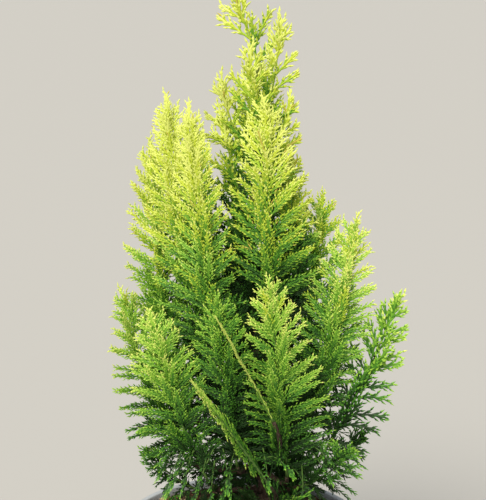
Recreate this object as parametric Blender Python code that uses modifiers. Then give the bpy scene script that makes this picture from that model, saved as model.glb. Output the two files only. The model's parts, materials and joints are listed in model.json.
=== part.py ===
"""Young golden conifer in a round plastic nursery pot.

Units are metres and +Z is up. The origin is the middle of the pot's flat underside, the front is -Y.
The plant is one trunk, a bough for each spray of foliage below the leader, and upright flat fans of
foliage. Each fan is one solid that keeps to its own space round its own stem.
"""

import math
import random
from dataclasses import dataclass

import bmesh
import bpy
import numpy as np
from mathutils import Matrix, Vector

SEED = 7
CLEARANCE = 0.0003

# Pot: a moulded shell with a rounded lip and round drainage holes in its base
POT_HEIGHT = 0.150
RIM_RADIUS = 0.095
LIP_HEIGHT = 0.012
LIP_WIDTH = 0.0042
LIP_BEAD = 0.0009
LIP_STEP = 0.0010
BASE_RADIUS = 0.070
WALL = 0.0018
BASE_THICKNESS = 0.0024
FOOT_CHAMFER = 0.0025
TURN_STEPS = 36
HOLES = 6
HOLE_RADIUS = 0.0055
HOLE_CIRCLE = 0.052
HOLE_SIDES = 8
HOLE_CUTTER_DEPTH = 0.020

# Compost: fills the pot to just below its rim, with a slightly sunk edge
COMPOST_TOP = 0.1455
COMPOST_EDGE_DROP = 0.003
COMPOST_EDGE_WIDTH = 0.014

# Trunk: height, then how far the middle stands to the right and to the back of the pot's axis
TRUNK_COURSE = (
    (COMPOST_TOP + CLEARANCE, 0.017, 0.004),
    (0.180, 0.017, 0.004),
    (0.250, 0.013, 0.004),
    (0.330, 0.007, 0.005),
    (0.400, 0.007, 0.004),
    (0.465, 0.012, 0.002),
    (0.508, 0.011, 0.000),
)
TRUNK_RADIUS = 0.0052
TRUNK_TIP_RADIUS = 0.0013
FLARE = 0.0038
FLARE_HEIGHT = 0.008
TRUNK_POINTS = 15
TRUNK_SIDES = 8
TRUNK_CROWDING = 1.5

# Boughs and the stems of the fans
BOUGH_RADIUS = 0.0025
BOUGH_END_RADIUS = 0.0014
BOUGH_POINTS = 6
BOUGH_SIDES = 6
BOUGH_RISE = 0.75
BOUGH_LEAD = 0.38
BOUGH_ARRIVAL = 0.30
STEM_RADIUS = 0.0013
STEM_TIP_RADIUS = 0.0005
STEM_POINTS = 7
STEM_POINTS_BARE = 6
STEM_SIDES = 4
STEM_LOW = 0.33
STEM_HIGH = 0.70
STEM_HIGH_BOW = 0.70

# Spaces of the fans: half width along the stem, and how far a fan may use its space
BELLY_FOOT = 0.62
BELLY_OPENING = 1.9
BELLY_CLOSING = 0.84
BELLY_POWER = 2.4
SAME_SPACE_MARGIN = 0.07
FURTHEST = 1.22
LIMB_MARGIN = 0.0016
CELL_SAMPLES = 12
CELL_END = 0.010

# Sprays: toothed blades that alternate along a stem
SPRAY_ANGLE_FOOT = math.radians(38)
SPRAY_ANGLE_TIP = math.radians(24)
SPRAY_ANGLE_JITTER = math.radians(4)
SPRAY_FIRST = 0.02
SPRAY_SPREAD = 0.74
SPRAY_JITTER = 0.3
SPRAY_LEAN_JITTER = 0.20
SPRAY_SHORTEST = 0.026
SPRAY_LENGTH_SPREAD = (0.98, 1.14)
SPRAY_TRIES = (1.0, 0.86, 0.74, 0.62, 0.5)
BLADE_THICKNESS = 0.0013
BLADE_STALK = 0.0009
BLADE_CURVE = 0.10
TOOTH_ANGLE = math.radians(32)
TOOTH_PITCH = 0.0130
TOOTHED_SHARE = 0.84
TOOTH_FIRST = 0.72
TOOTH_FADE = 1.25
VALLEY_WIDTH = 1.6
OUTER_TEETH = 0.66
INNER_TEETH = 0.56
SHINGLE = 0.45
SHINGLE_JITTER = 0.2
TERMINAL_SHARE = 0.36
TERMINAL_AIM = 0.8
TERMINAL_TURN = 0.2

LEAF_GOLD = (0.50, 0.56, 0.07)
LEAF_GREEN = (0.12, 0.24, 0.04)


@dataclass(frozen=True)
class Mass:
    """One upright fan of foliage, with the bough that carries it.

    leave is the height where the bough, or the stem itself, leaves the trunk. foot is the bough's end,
    or None where the stem grows straight from the trunk. face turns the fan about its stem: 0 faces the
    front and 90 the right-hand side. bow is how far the stem bulges away from the trunk. gold is how
    much of the sunlit yellow the fan has.
    """

    name: str
    leave: float
    foot: tuple | None
    tip: tuple
    half_width: float
    half_depth: float
    face: float
    bow: float
    sprays: int
    gold: float


MASSES = (
    # The leader and the fans that grow straight from the top of the trunk
    Mass("leader_tip", 0.508, None, (-0.008, -0.002, 0.562),
         0.026, 0.014, 4, -0.004, 5, 1.0),
    Mass("leader_right", 0.452, None, (0.027, -0.010, 0.543),
         0.020, 0.013, -12, 0.006, 4, 1.0),
    Mass("leader_left", 0.428, None, (-0.014, -0.012, 0.500),
         0.022, 0.014, 14, 0.008, 4, 0.9),
    Mass("leader_front", 0.418, None, (0.006, -0.022, 0.524),
         0.026, 0.012, -4, 0.006, 4, 1.0),
    Mass("leader_back", 0.440, None, (0.012, 0.028, 0.512),
         0.026, 0.015, 140, 0.010, 4, 0.7),
    Mass("crown_front", 0.300, (0.021, -0.022, 0.332), (0.015, -0.028, 0.488),
         0.030, 0.014, -6, 0.006, 7, 1.0),
    Mass("crown_right", 0.290, (0.030, 0.008, 0.326), (0.036, 0.004, 0.444),
         0.024, 0.016, -30, 0.005, 5, 0.8),
    Mass("crown_inner", 0.272, (-0.008, 0.018, 0.298), (-0.006, 0.030, 0.430),
         0.028, 0.017, 40, 0.004, 4, 0.2),
    Mass("middle_front", 0.307, None, (0.001, -0.022, 0.412),
         0.026, 0.013, 0, 0.004, 5, 0.2),
    # The left-hand tower
    Mass("tower_middle", 0.238, (-0.024, -0.012, 0.276), (-0.054, -0.012, 0.488),
         0.029, 0.017, 0, 0.010, 7, 0.9),
    Mass("tower_inner", 0.256, (-0.016, -0.026, 0.288), (-0.038, -0.034, 0.484),
         0.023, 0.015, -12, 0.006, 6, 0.8),
    Mass("tower_outer", 0.206, (-0.041, 0.000, 0.244), (-0.067, 0.008, 0.452),
         0.031, 0.017, 28, 0.013, 7, 0.9),
    Mass("tower_back", 0.226, (-0.022, 0.026, 0.262), (-0.036, 0.038, 0.458),
         0.030, 0.018, 150, 0.008, 5, 0.5),
    # The low fans at the left
    Mass("left_outer", 0.184, (-0.044, -0.018, 0.212), (-0.089, -0.020, 0.344),
         0.028, 0.018, 34, 0.010, 6, 0.8),
    Mass("left_front", 0.173, (-0.026, -0.042, 0.202), (-0.066, -0.052, 0.336),
         0.032, 0.016, 4, 0.010, 6, 0.8),
    Mass("left_inner", 0.203, (-0.004, -0.044, 0.214), (-0.018, -0.060, 0.350),
         0.030, 0.014, -14, 0.004, 5, 0.6),
    Mass("left_low", 0.160, (-0.030, -0.022, 0.184), (-0.072, -0.042, 0.226),
         0.022, 0.014, 40, 0.008, 4, 0.4),
    Mass("left_droop", 0.152, (-0.012, -0.038, 0.178), (-0.054, -0.082, 0.200),
         0.022, 0.013, 30, 0.014, 4, 0.3),
    # The front
    Mass("front_fan", 0.1865, (0.033, -0.049, 0.208), (0.018, -0.066, 0.364),
         0.033, 0.016, -4, 0.008, 7, 1.0),
    Mass("front_edge_high", 0.195, (0.022, -0.078, 0.262), (-0.017, -0.096, 0.342),
         0.020, 0.009, 68, -0.004, 5, 0.8),
    Mass("front_edge_low", 0.1635, (0.019, -0.077, 0.213), (-0.034, -0.102, 0.298),
         0.020, 0.009, 58, -0.002, 4, 0.8),
    Mass("front_low", 0.157, (0.028, -0.046, 0.184), (0.036, -0.098, 0.212),
         0.022, 0.014, 20, 0.010, 4, 0.6),
    Mass("front_right_low", 0.169, (0.044, -0.038, 0.196), (0.076, -0.060, 0.234),
         0.026, 0.015, -18, 0.012, 5, 0.8),
    # The right
    Mass("right_high", 0.220, (0.042, 0.012, 0.262), (0.060, 0.016, 0.410),
         0.027, 0.015, -15, 0.006, 6, 0.3),
    Mass("right_middle", 0.198, (0.048, -0.018, 0.236), (0.083, -0.018, 0.399),
         0.031, 0.016, -8, 0.008, 6, 0.7),
    Mass("right_outer", 0.174, (0.062, -0.016, 0.214), (0.116, -0.020, 0.338),
         0.027, 0.016, -24, 0.006, 6, 0.7),
    Mass("right_low", 0.156, (0.050, 0.010, 0.182), (0.094, 0.010, 0.220),
         0.024, 0.015, -46, 0.008, 4, 0.2),
    # The back, which the photograph doesn't show
    Mass("back_right_high", 0.232, (0.026, 0.038, 0.274), (0.034, 0.050, 0.430),
         0.028, 0.017, 130, 0.006, 5, 0.6),
    Mass("back_right_low", 0.168, (0.048, 0.038, 0.204), (0.082, 0.056, 0.334),
         0.031, 0.018, 140, 0.010, 5, 0.6),
    Mass("back_middle", 0.182, (0.006, 0.048, 0.216), (0.000, 0.074, 0.370),
         0.034, 0.018, 184, 0.010, 5, 0.7),
    Mass("back_left_low", 0.164, (-0.034, 0.034, 0.198), (-0.072, 0.056, 0.338),
         0.032, 0.018, 222, 0.010, 5, 0.6),
)


def clear_scene():
    """Removes whatever the new file starts with."""
    for obj in list(bpy.data.objects):
        bpy.data.objects.remove(obj, do_unlink=True)


def new_collection(name, hidden=False):
    """Makes a collection in the scene, left out of renders where it holds cutters."""
    collection = bpy.data.collections.new(name)
    bpy.context.scene.collection.children.link(collection)
    collection.hide_render = hidden
    return collection


def material(name, colour, roughness):
    """Makes a plain Principled material with this base colour and roughness."""
    made = bpy.data.materials.new(name)
    made.use_nodes = True
    shader = made.node_tree.nodes["Principled BSDF"]
    shader.inputs["Base Color"].default_value = (*colour, 1.0)
    shader.inputs["Roughness"].default_value = roughness
    shader.inputs["Metallic"].default_value = 0.0
    return made


def new_object(name, mesh, collection, finish=None):
    """Makes an object of this mesh in the collection, with one material."""
    obj = bpy.data.objects.new(name, mesh)
    collection.objects.link(obj)
    if finish:
        mesh.materials.clear()
        mesh.materials.append(finish)
    return obj


def smooth(mesh, degrees):
    """Shades the mesh smooth, with edges over this angle left sharp."""
    mesh.shade_smooth()
    mesh.set_sharp_from_angle(angle=math.radians(degrees))


def turned(name, profile, collection, finish, open_ends=False):
    """Turns a profile of (radius, height) points, listed down its outer side, about the Z axis."""
    mesh = bpy.data.meshes.new(name)
    edges = [(i, i + 1) for i in range(len(profile) - 1)]
    if open_ends:
        edges.append((len(profile) - 1, 0))
    mesh.from_pydata([(radius, 0.0, height) for radius, height in profile], edges, [])
    obj = new_object(name, mesh, collection, finish)
    screw = obj.modifiers.new("turn", "SCREW")
    screw.steps = screw.render_steps = TURN_STEPS
    screw.use_merge_vertices = True
    screw.merge_threshold = 0.00005
    screw.use_smooth_shade = False
    return obj


def pot_outside(height):
    """Outer radius of the pot's wall at a height below the lip."""
    share = height / (POT_HEIGHT - LIP_HEIGHT)
    return BASE_RADIUS + (RIM_RADIUS - LIP_WIDTH - BASE_RADIUS) * share


def pot_inside(height):
    """Inner radius of the pot's wall at a height below the lip."""
    return pot_outside(height) - WALL


def lip_inside():
    """Inner radius of the lip's bead."""
    return pot_inside(POT_HEIGHT - LIP_HEIGHT) + LIP_STEP


def lining(height):
    """Inner radius on the straight line from the pot's floor corner up to the lip's bead."""
    low, high = 2 * FOOT_CHAMFER, POT_HEIGHT - LIP_BEAD
    return pot_inside(low) + (lip_inside() - pot_inside(low)) * (height - low) / (high - low)


def make_pot(parts, cutters):
    """The pot: a turned shell with a rounded lip, and drainage holes cut through its base."""
    lip_foot = POT_HEIGHT - LIP_HEIGHT
    profile = (
        (RIM_RADIUS - LIP_BEAD, POT_HEIGHT),
        (RIM_RADIUS, POT_HEIGHT - LIP_BEAD),
        (RIM_RADIUS, lip_foot),
        (pot_outside(lip_foot), lip_foot),
        (pot_outside(FOOT_CHAMFER), FOOT_CHAMFER),
        (BASE_RADIUS - FOOT_CHAMFER, 0.0),
        (0.0, 0.0),
        (0.0, BASE_THICKNESS),
        (pot_inside(BASE_THICKNESS) - FOOT_CHAMFER, BASE_THICKNESS),
        (pot_inside(2 * FOOT_CHAMFER), 2 * FOOT_CHAMFER),
        (lip_inside(), POT_HEIGHT - LIP_BEAD),
        (lip_inside() + LIP_BEAD, POT_HEIGHT),
    )
    finish = material("grey_pot_plastic", (0.30, 0.32, 0.34), 0.45)
    pot = turned("pot", profile, parts, finish, open_ends=True)
    for index in range(HOLES):
        angle = 2 * math.pi * (index + 0.5) / HOLES
        mesh = bpy.data.meshes.new(f"drain_cutter_{index}")
        shape = bmesh.new()
        bmesh.ops.create_cone(
            shape,
            cap_ends=True,
            segments=HOLE_SIDES,
            radius1=HOLE_RADIUS,
            radius2=HOLE_RADIUS,
            depth=HOLE_CUTTER_DEPTH,
        )
        shape.to_mesh(mesh)
        shape.free()
        cutter = new_object(f"drain_cutter_{index}", mesh, cutters)
        cutter.location = (HOLE_CIRCLE * math.cos(angle), HOLE_CIRCLE * math.sin(angle), 0.0)
        cutter.hide_render = True
        cutter.display_type = "WIRE"
        cut = pot.modifiers.new(f"drain_{index}", "BOOLEAN")
        cut.operation = "DIFFERENCE"
        cut.object = cutter
    return pot


def make_compost(parts):
    """The compost: a turned fill with a flat top, 0.3 mm clear of the pot."""
    top_edge = COMPOST_TOP - COMPOST_EDGE_DROP
    floor = BASE_THICKNESS + CLEARANCE
    profile = (
        (0.0, COMPOST_TOP),
        (lining(COMPOST_TOP) - COMPOST_EDGE_WIDTH, COMPOST_TOP),
        (lining(top_edge) - 2 * CLEARANCE, top_edge),
        (pot_inside(2 * FOOT_CHAMFER) - 2 * CLEARANCE, 2 * FOOT_CHAMFER),
        (pot_inside(BASE_THICKNESS) - FOOT_CHAMFER - CLEARANCE, floor),
        (0.0, floor),
    )
    return turned("compost", profile, parts, material("bark_compost", (0.07, 0.05, 0.035), 0.95))


def trunk_at(height):
    """Middle of the trunk at a height, on a smooth curve through its course."""
    course = np.array(TRUNK_COURSE)
    heights = course[:, 0]
    height = float(np.clip(height, heights[0], heights[-1]))
    k = int(np.clip(np.searchsorted(heights, height) - 1, 0, len(heights) - 2))
    slopes = np.gradient(course[:, 1:], heights, axis=0)
    span = heights[k + 1] - heights[k]
    u = (height - heights[k]) / span
    place = (
        (2 * u**3 - 3 * u**2 + 1) * course[k, 1:]
        + (u**3 - 2 * u**2 + u) * span * slopes[k]
        + (3 * u**2 - 2 * u**3) * course[k + 1, 1:]
        + (u**3 - u**2) * span * slopes[k + 1]
    )
    return np.array([place[0], place[1], height])


def trunk_radius(height):
    """Radius of the trunk: a straight taper, and a flare that dies out above the ground."""
    foot, top = TRUNK_COURSE[0][0], TRUNK_COURSE[-1][0]
    share = (height - foot) / (top - foot)
    taper = TRUNK_RADIUS + (TRUNK_TIP_RADIUS - TRUNK_RADIUS) * share
    return taper + FLARE * math.exp(-(height - foot) / FLARE_HEIGHT)


def tube(name, points, radii, sides, collection, finish=None):
    """A tapering tube with flat ends, made from a curve and then welded into a mesh."""
    curve = bpy.data.curves.new(name, "CURVE")
    curve.dimensions = "3D"
    curve.bevel_depth = 1.0
    curve.bevel_resolution = sides // 2 - 2
    curve.use_fill_caps = True
    spline = curve.splines.new("POLY")
    spline.points.add(len(points) - 1)
    for point, place, radius in zip(spline.points, points, radii):
        point.co = (*place, 1.0)
        point.radius = radius
    guide = bpy.data.objects.new(name + "_course", curve)
    collection.objects.link(guide)
    evaluated = guide.evaluated_get(bpy.context.evaluated_depsgraph_get())
    mesh = bpy.data.meshes.new_from_object(evaluated)
    shape = bmesh.new()
    shape.from_mesh(mesh)
    bmesh.ops.remove_doubles(shape, verts=shape.verts, dist=0.00001)
    bmesh.ops.recalc_face_normals(shape, faces=shape.faces)
    shape.to_mesh(mesh)
    shape.free()
    mesh.name = name
    obj = new_object(name, mesh, collection, finish)
    obj.matrix_world = guide.matrix_world.copy()
    bpy.data.objects.remove(guide, do_unlink=True)
    return obj


def make_trunk(parts, cutters, bark):
    """The trunk, and a copy that is larger by the clearance, which cuts the limbs free of it."""
    foot, top = TRUNK_COURSE[0][0], TRUNK_COURSE[-1][0]
    share = np.linspace(0.0, 1.0, TRUNK_POINTS) ** TRUNK_CROWDING
    heights = foot + (top - foot) * share
    points = [trunk_at(height) for height in heights]
    radii = [trunk_radius(height) for height in heights]
    trunk = tube("trunk", points, radii, TRUNK_SIDES, parts, bark)
    smooth(trunk.data, 50)
    wider = [radius + CLEARANCE for radius in radii]
    cutter = tube("trunk_space", points, wider, TRUNK_SIDES, cutters)
    cutter.hide_render = True
    cutter.display_type = "WIRE"
    return trunk, cutter


def bezier(corners, count):
    """Points spaced evenly in parameter along the cubic curve of four corners."""
    t = np.linspace(0.0, 1.0, count)[:, None]
    a, b, c, d = (np.asarray(corner, float) for corner in corners)
    return (1 - t) ** 3 * a + 3 * (1 - t) ** 2 * t * b + 3 * (1 - t) * t**2 * c + t**3 * d


def unit(vector):
    """The vector at length 1."""
    return vector / np.linalg.norm(vector)


def away_from_trunk(place):
    """Level direction from the trunk to a place."""
    out = place - trunk_at(place[2])
    out[2] = 0.0
    return unit(out)


def foot_of(mass):
    """Where the stem of a fan begins: at its bough's end, or on the trunk."""
    if mass.foot:
        return np.array(mass.foot)
    start = trunk_at(mass.leave)
    if mass.leave >= TRUNK_COURSE[-1][0]:
        rise = unit(np.array(mass.tip) - start)
        return start + CLEARANCE * np.array([rise[0], rise[1], 1.0])
    return start


def stem_curve(mass, count):
    """The stem: it leaves its bough leaning out, bows by the fan's bow and comes up to the tip."""
    foot, tip = foot_of(mass), np.array(mass.tip)
    out = away_from_trunk((foot + 2 * tip) / 3 + np.array([1e-5, 0.0, 0.0]))
    rise = tip - foot
    low = foot + STEM_LOW * rise + mass.bow * out
    high = foot + STEM_HIGH * rise + STEM_HIGH_BOW * mass.bow * out
    points = bezier((foot, low, high, tip), count)
    points[1] = foot + np.linalg.norm(points[1] - foot) * unit(low - foot)
    return points


def bough_curve(mass, count):
    """The bough: it leaves the trunk rising outwards and ends in line with the stem."""
    start, end = trunk_at(mass.leave), np.array(mass.foot)
    run = end - start
    level = np.array([run[0], run[1], 0.0])
    reach = np.linalg.norm(run)
    leaving = unit(unit(level) + np.array([0.0, 0.0, BOUGH_RISE]))
    stem = stem_curve(mass, STEM_POINTS)
    arriving = unit(stem[1] - stem[0])
    lead = start + BOUGH_LEAD * reach * leaving
    points = bezier((start, lead, end - BOUGH_ARRIVAL * reach * arriving, end), count)
    points[-2] = end - np.linalg.norm(points[-2] - end) * arriving
    return points


def belly(t):
    """Half width of a fan along its stem, as a share of its widest: quick to open, slow to close."""
    return np.minimum(1.0, BELLY_FOOT + BELLY_OPENING * t) * (1.0 - BELLY_CLOSING * t**BELLY_POWER)


class Space:
    """The space of one fan: elliptical sections along its stem, wide in the fan and thin across it."""

    def __init__(self, mass):
        fine = stem_curve(mass, 8 * CELL_SAMPLES + 1)
        self.mass = mass
        self.points = fine[4::8]
        along = np.gradient(fine, axis=0)[4::8]
        self.along = along / np.linalg.norm(along, axis=1)[:, None]
        turn = math.radians(mass.face)
        facing = np.array([math.sin(turn), -math.cos(turn), 0.0])
        side = np.cross(self.along, facing)
        self.side = side / np.linalg.norm(side, axis=1)[:, None]
        self.normal = np.cross(self.side, self.along)
        t = (np.arange(CELL_SAMPLES) + 0.5) / CELL_SAMPLES
        self.width = mass.half_width * belly(t)
        self.depth = mass.half_depth * np.sqrt(belly(t))
        self.half_step = 0.5 * np.linalg.norm(fine[-1] - fine[0]) / CELL_SAMPLES
        self.length = np.linalg.norm(np.diff(fine, axis=0), axis=1).sum()

    def frame(self, t):
        """Place on the stem and its directions along, sideways and across at a share t."""
        k = t * CELL_SAMPLES - 0.5
        index = np.arange(CELL_SAMPLES)

        def read(values):
            return np.array([np.interp(k, index, values[:, i]) for i in range(3)])

        place = bezier_point(self.mass, t)
        return place, unit(read(self.along)), unit(read(self.side)), unit(read(self.normal))

    def distance(self, points):
        """How far points lie from the stem, as a share of the space's own size there."""
        offset = points[:, None, :] - self.points[None]
        s = np.einsum("pkc,kc->pk", offset, self.side) / self.width
        n = np.einsum("pkc,kc->pk", offset, self.normal) / self.depth
        a = np.abs(np.einsum("pkc,kc->pk", offset, self.along)) - self.half_step
        a = np.maximum(a, 0.0) / CELL_END
        return np.sqrt(s**2 + n**2 + a**2).min(axis=1)


def bezier_point(mass, t):
    """One place on the stem at a share t."""
    fine = stem_curve(mass, 101)
    return np.array([np.interp(t, np.linspace(0, 1, 101), fine[:, i]) for i in range(3)])


def blade_outline(length, outer):
    """Outline of a toothed blade in its own plane: x along its midrib, y to its side.

    The teeth lean forward at the tooth angle, one to each pitch along the midrib. They are longest at
    a third of the blade and shrink to its pointed tip, and those on the outer side, which is +Y where
    outer is 1 and -Y where it is -1, are longer than the others. The whole blade curves inwards by
    the square of the way along it.
    """
    teeth = max(2, round(TOOTHED_SHARE * length / TOOTH_PITCH))
    halves = []
    for hand, share in ((1.0, OUTER_TEETH), (-1.0, INNER_TEETH)):
        half = [(0.0, hand * BLADE_STALK)]
        for index in range(teeth):
            start = TOOTHED_SHARE * index / teeth
            valley = TOOTHED_SHARE * (index + 1) / teeth
            tooth = share * length * min(1.0, TOOTH_FIRST + start) * (1.0 - start) ** TOOTH_FADE
            along, out = math.cos(TOOTH_ANGLE) * tooth, math.sin(TOOTH_ANGLE) * tooth
            half.append((start * length + along, hand * out))
            half.append((valley * length, hand * BLADE_STALK * (VALLEY_WIDTH - valley)))
        halves.append(half)
    points = halves[0] + [(length, 0.0)] + halves[1][::-1]
    return [(x, outer * (y - BLADE_CURVE * x * x / length)) for x, y in points]


def blade_samples(outline):
    """Points all over a blade, which test whether it fits: its outline and rings inside that."""
    points = np.array(outline)
    following = np.roll(points, -1, axis=0)
    middle = 0.5 * (points + following)
    rib = np.column_stack([np.linspace(0.0, points[:, 0].max(), 12), np.zeros(12)])
    edge = np.concatenate([points, middle])
    inner = edge * np.array([1.0, 0.5])
    return np.concatenate([edge, inner, rib])


def blade_matrix(root, direction, across):
    """Places a blade: its root, the way its midrib runs and roughly what it faces."""
    x = Vector(direction).normalized()
    z = (Vector(across) - Vector(across).dot(x) * x).normalized()
    y = z.cross(x)
    rotation = Matrix((x, y, z)).transposed().to_4x4()
    return Matrix.Translation(Vector(root)) @ rotation


def blade_object(name, outline, placed, collection):
    """A flat toothed blade: a filled two-dimensional curve with half its thickness extruded."""
    curve = bpy.data.curves.new(name, "CURVE")
    curve.dimensions = "2D"
    curve.fill_mode = "BOTH"
    curve.extrude = BLADE_THICKNESS / 2
    spline = curve.splines.new("POLY")
    spline.points.add(len(outline) - 1)
    for point, (x, y) in zip(spline.points, outline):
        point.co = (x, y, 0.0, 1.0)
    spline.use_cyclic_u = True
    guide = bpy.data.objects.new(name + "_outline", curve)
    collection.objects.link(guide)
    evaluated = guide.evaluated_get(bpy.context.evaluated_depsgraph_get())
    mesh = bpy.data.meshes.new_from_object(evaluated)
    bpy.data.objects.remove(guide, do_unlink=True)
    shape = bmesh.new()
    shape.from_mesh(mesh)
    bmesh.ops.remove_doubles(shape, verts=shape.verts, dist=0.00001)
    bmesh.ops.transform(shape, matrix=placed, verts=shape.verts)
    bmesh.ops.recalc_face_normals(shape, faces=shape.faces)
    shape.to_mesh(mesh)
    shape.free()
    return new_object(name, mesh, collection)


def near_limb(points, limbs):
    """Whether any point lies within the margin of a trunk or bough."""
    for middle, radius in limbs:
        start, end = middle[:-1], middle[1:]
        run = end - start
        offset = points[:, None, :] - start[None]
        share = np.einsum("psc,sc->ps", offset, run) / np.einsum("sc,sc->s", run, run)
        share = np.clip(share, 0.0, 1.0)
        gap = np.linalg.norm(offset - share[..., None] * run[None], axis=2)
        thick = radius[:-1] + (radius[1:] - radius[:-1]) * share
        if (gap < thick + LIMB_MARGIN).any():
            return True
    return False


def fits(points, own, spaces, limbs):
    """Whether points keep to their own space and clear every limb."""
    mine = own.distance(points)
    if (mine > FURTHEST).any() or near_limb(points, limbs):
        return False
    reach = own.length + 0.05
    middle = own.points[CELL_SAMPLES // 2]
    for other in spaces:
        if other is own:
            continue
        if np.linalg.norm(other.points[CELL_SAMPLES // 2] - middle) > reach + other.length:
            continue
        if (other.distance(points) < mine + SAME_SPACE_MARGIN).any():
            return False
    return True


def spray_length(space, t, angle):
    """Length at which a spray that leaves the stem at this angle comes to the edge of its space."""
    length = space.mass.half_width
    for _ in range(5):
        end = min(1.0, t + length * math.cos(angle) / space.length)
        width = space.mass.half_width * float(belly(np.array(end)))
        length = 0.5 * (length + width / math.sin(angle))
    return length


def spray_plan(space, rng):
    """The sprays of one fan by its seeded rule: (share of the stem, direction, facing, length, outer side).

    They alternate along the stem at an angle that closes towards its tip, each turned about its own
    midrib the same way, so that they lie over one another like shingles. One more ends the stem.
    """
    mass = space.mass
    plan = []
    for index in range(mass.sprays):
        t = SPRAY_FIRST + SPRAY_SPREAD * (index + SPRAY_JITTER * rng.random()) / mass.sprays
        _, along, side, normal = space.frame(t)
        hand = 1.0 if index % 2 else -1.0
        angle = SPRAY_ANGLE_FOOT + (SPRAY_ANGLE_TIP - SPRAY_ANGLE_FOOT) * t
        angle += rng.uniform(-SPRAY_ANGLE_JITTER, SPRAY_ANGLE_JITTER)
        lean = rng.uniform(-SPRAY_LEAN_JITTER, SPRAY_LEAN_JITTER)
        direction = math.cos(angle) * along + math.sin(angle) * hand * side + lean * normal
        outwards = math.cos(angle) * hand * side - math.sin(angle) * along
        facing = normal + (SHINGLE + rng.uniform(-SHINGLE_JITTER, SHINGLE_JITTER)) * outwards
        length = spray_length(space, t, angle) * rng.uniform(*SPRAY_LENGTH_SPREAD)
        length = max(SPRAY_SHORTEST, length)
        plan.append((t, unit(direction), facing, length, -hand))
    _, along, side, normal = space.frame(TERMINAL_AIM)
    facing = normal + TERMINAL_TURN * side
    plan.append((1.0 - TERMINAL_SHARE, along, facing, TERMINAL_SHARE * space.length, 1.0))
    return plan


def keep_one_body(mesh):
    """Drops loose scraps and sealed hollows: only the island with the widest reach stays."""
    shape = bmesh.new()
    shape.from_mesh(mesh)
    waiting, islands = set(shape.verts), []
    while waiting:
        island, front = set(), [waiting.pop()]
        while front:
            vert = front.pop()
            island.add(vert)
            for edge in vert.link_edges:
                other = edge.other_vert(vert)
                if other in waiting:
                    waiting.discard(other)
                    front.append(other)
        islands.append(island)

    def reach(island):
        heights = [vert.co.z for vert in island]
        sides = [vert.co.x for vert in island]
        return max(heights) - min(heights) + max(sides) - min(sides)

    islands.sort(key=reach)
    for island in islands[:-1]:
        bmesh.ops.delete(shape, geom=list(island), context="VERTS")
    shape.to_mesh(mesh)
    shape.free()


def apply_modifiers(obj):
    """Gives the object the mesh that its modifiers make, and removes them."""
    evaluated = obj.evaluated_get(bpy.context.evaluated_depsgraph_get())
    mesh = bpy.data.meshes.new_from_object(evaluated)
    obj.modifiers.clear()
    obj.data = mesh


def make_mass(space, spaces, limbs, parts, cutter):
    """One fan of foliage: its stem, and the toothed blades that fit, joined into one solid.

    The stem stops inside the blade that ends it, whose midrib runs on to the tip.
    """
    mass = space.mass
    rng = random.Random(f"{SEED} {mass.name}")
    straight_from_trunk = mass.foot is None and mass.leave < TRUNK_COURSE[-1][0]
    points = stem_curve(mass, STEM_POINTS)
    if mass.foot:
        points[0] += CLEARANCE * unit(points[1] - points[0])
    points = points[:STEM_POINTS_BARE]
    radii = np.linspace(STEM_RADIUS, STEM_TIP_RADIUS, STEM_POINTS_BARE)
    shade = [g + (y - g) * mass.gold for y, g in zip(LEAF_GOLD, LEAF_GREEN)]
    finish = material(mass.name + "_foliage", shade, 0.6)
    stem = tube(mass.name, points, radii, STEM_SIDES, parts, finish)
    if straight_from_trunk:
        cut = stem.modifiers.new("clear_of_trunk", "BOOLEAN")
        cut.operation = "DIFFERENCE"
        cut.object = cutter
        apply_modifiers(stem)
        keep_one_body(stem.data)
    blades = new_collection(mass.name + "_blades", hidden=True)
    for index, (t, direction, facing, length, outer) in enumerate(spray_plan(space, rng)):
        root = bezier_point(mass, t)
        placed = blade_matrix(root, direction, facing)
        turn = np.array(placed)[:3, :2]
        for share in SPRAY_TRIES:
            outline = blade_outline(length * share, outer)
            samples = blade_samples(outline) @ turn.T + np.array(placed.translation)
            if fits(samples, space, spaces, limbs):
                blade_object(f"{mass.name}_blade_{index}", outline, placed, blades)
                break
    join = stem.modifiers.new("join", "BOOLEAN")
    join.operation = "UNION"
    join.operand_type = "COLLECTION"
    join.collection = blades
    join.solver = "MANIFOLD"
    apply_modifiers(stem)
    keep_one_body(stem.data)
    stem.data.materials.clear()
    stem.data.materials.append(finish)
    stem.data.polygons.foreach_set("material_index", [0] * len(stem.data.polygons))
    for blade in list(blades.objects):
        bpy.data.objects.remove(blade, do_unlink=True)
    bpy.data.collections.remove(blades)


def main():
    """Builds the pot, the compost, the trunk, the boughs and the fans."""
    clear_scene()
    parts = new_collection("potted_conifer")
    cutters = new_collection("cutters", hidden=True)
    make_pot(parts, cutters)
    make_compost(parts)
    bark = material("young_bark", (0.13, 0.075, 0.045), 0.8)
    _, trunk_space = make_trunk(parts, cutters, bark)
    heights = np.linspace(TRUNK_COURSE[0][0], TRUNK_COURSE[-1][0], 40)
    limbs = [(np.array([trunk_at(z) for z in heights]), np.array([trunk_radius(z) for z in heights]))]
    for mass in MASSES:
        if not mass.foot:
            continue
        points = bough_curve(mass, BOUGH_POINTS)
        radii = np.linspace(BOUGH_RADIUS, BOUGH_END_RADIUS, BOUGH_POINTS)
        bough = tube("bough_" + mass.name, points, radii, BOUGH_SIDES, parts, bark)
        cut = bough.modifiers.new("clear_of_trunk", "BOOLEAN")
        cut.operation = "DIFFERENCE"
        cut.object = trunk_space
        limbs.append((points[1:], radii[1:]))
    spaces = [Space(mass) for mass in MASSES]
    for space in spaces:
        make_mass(space, spaces, limbs, parts, trunk_space)


main()
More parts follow.
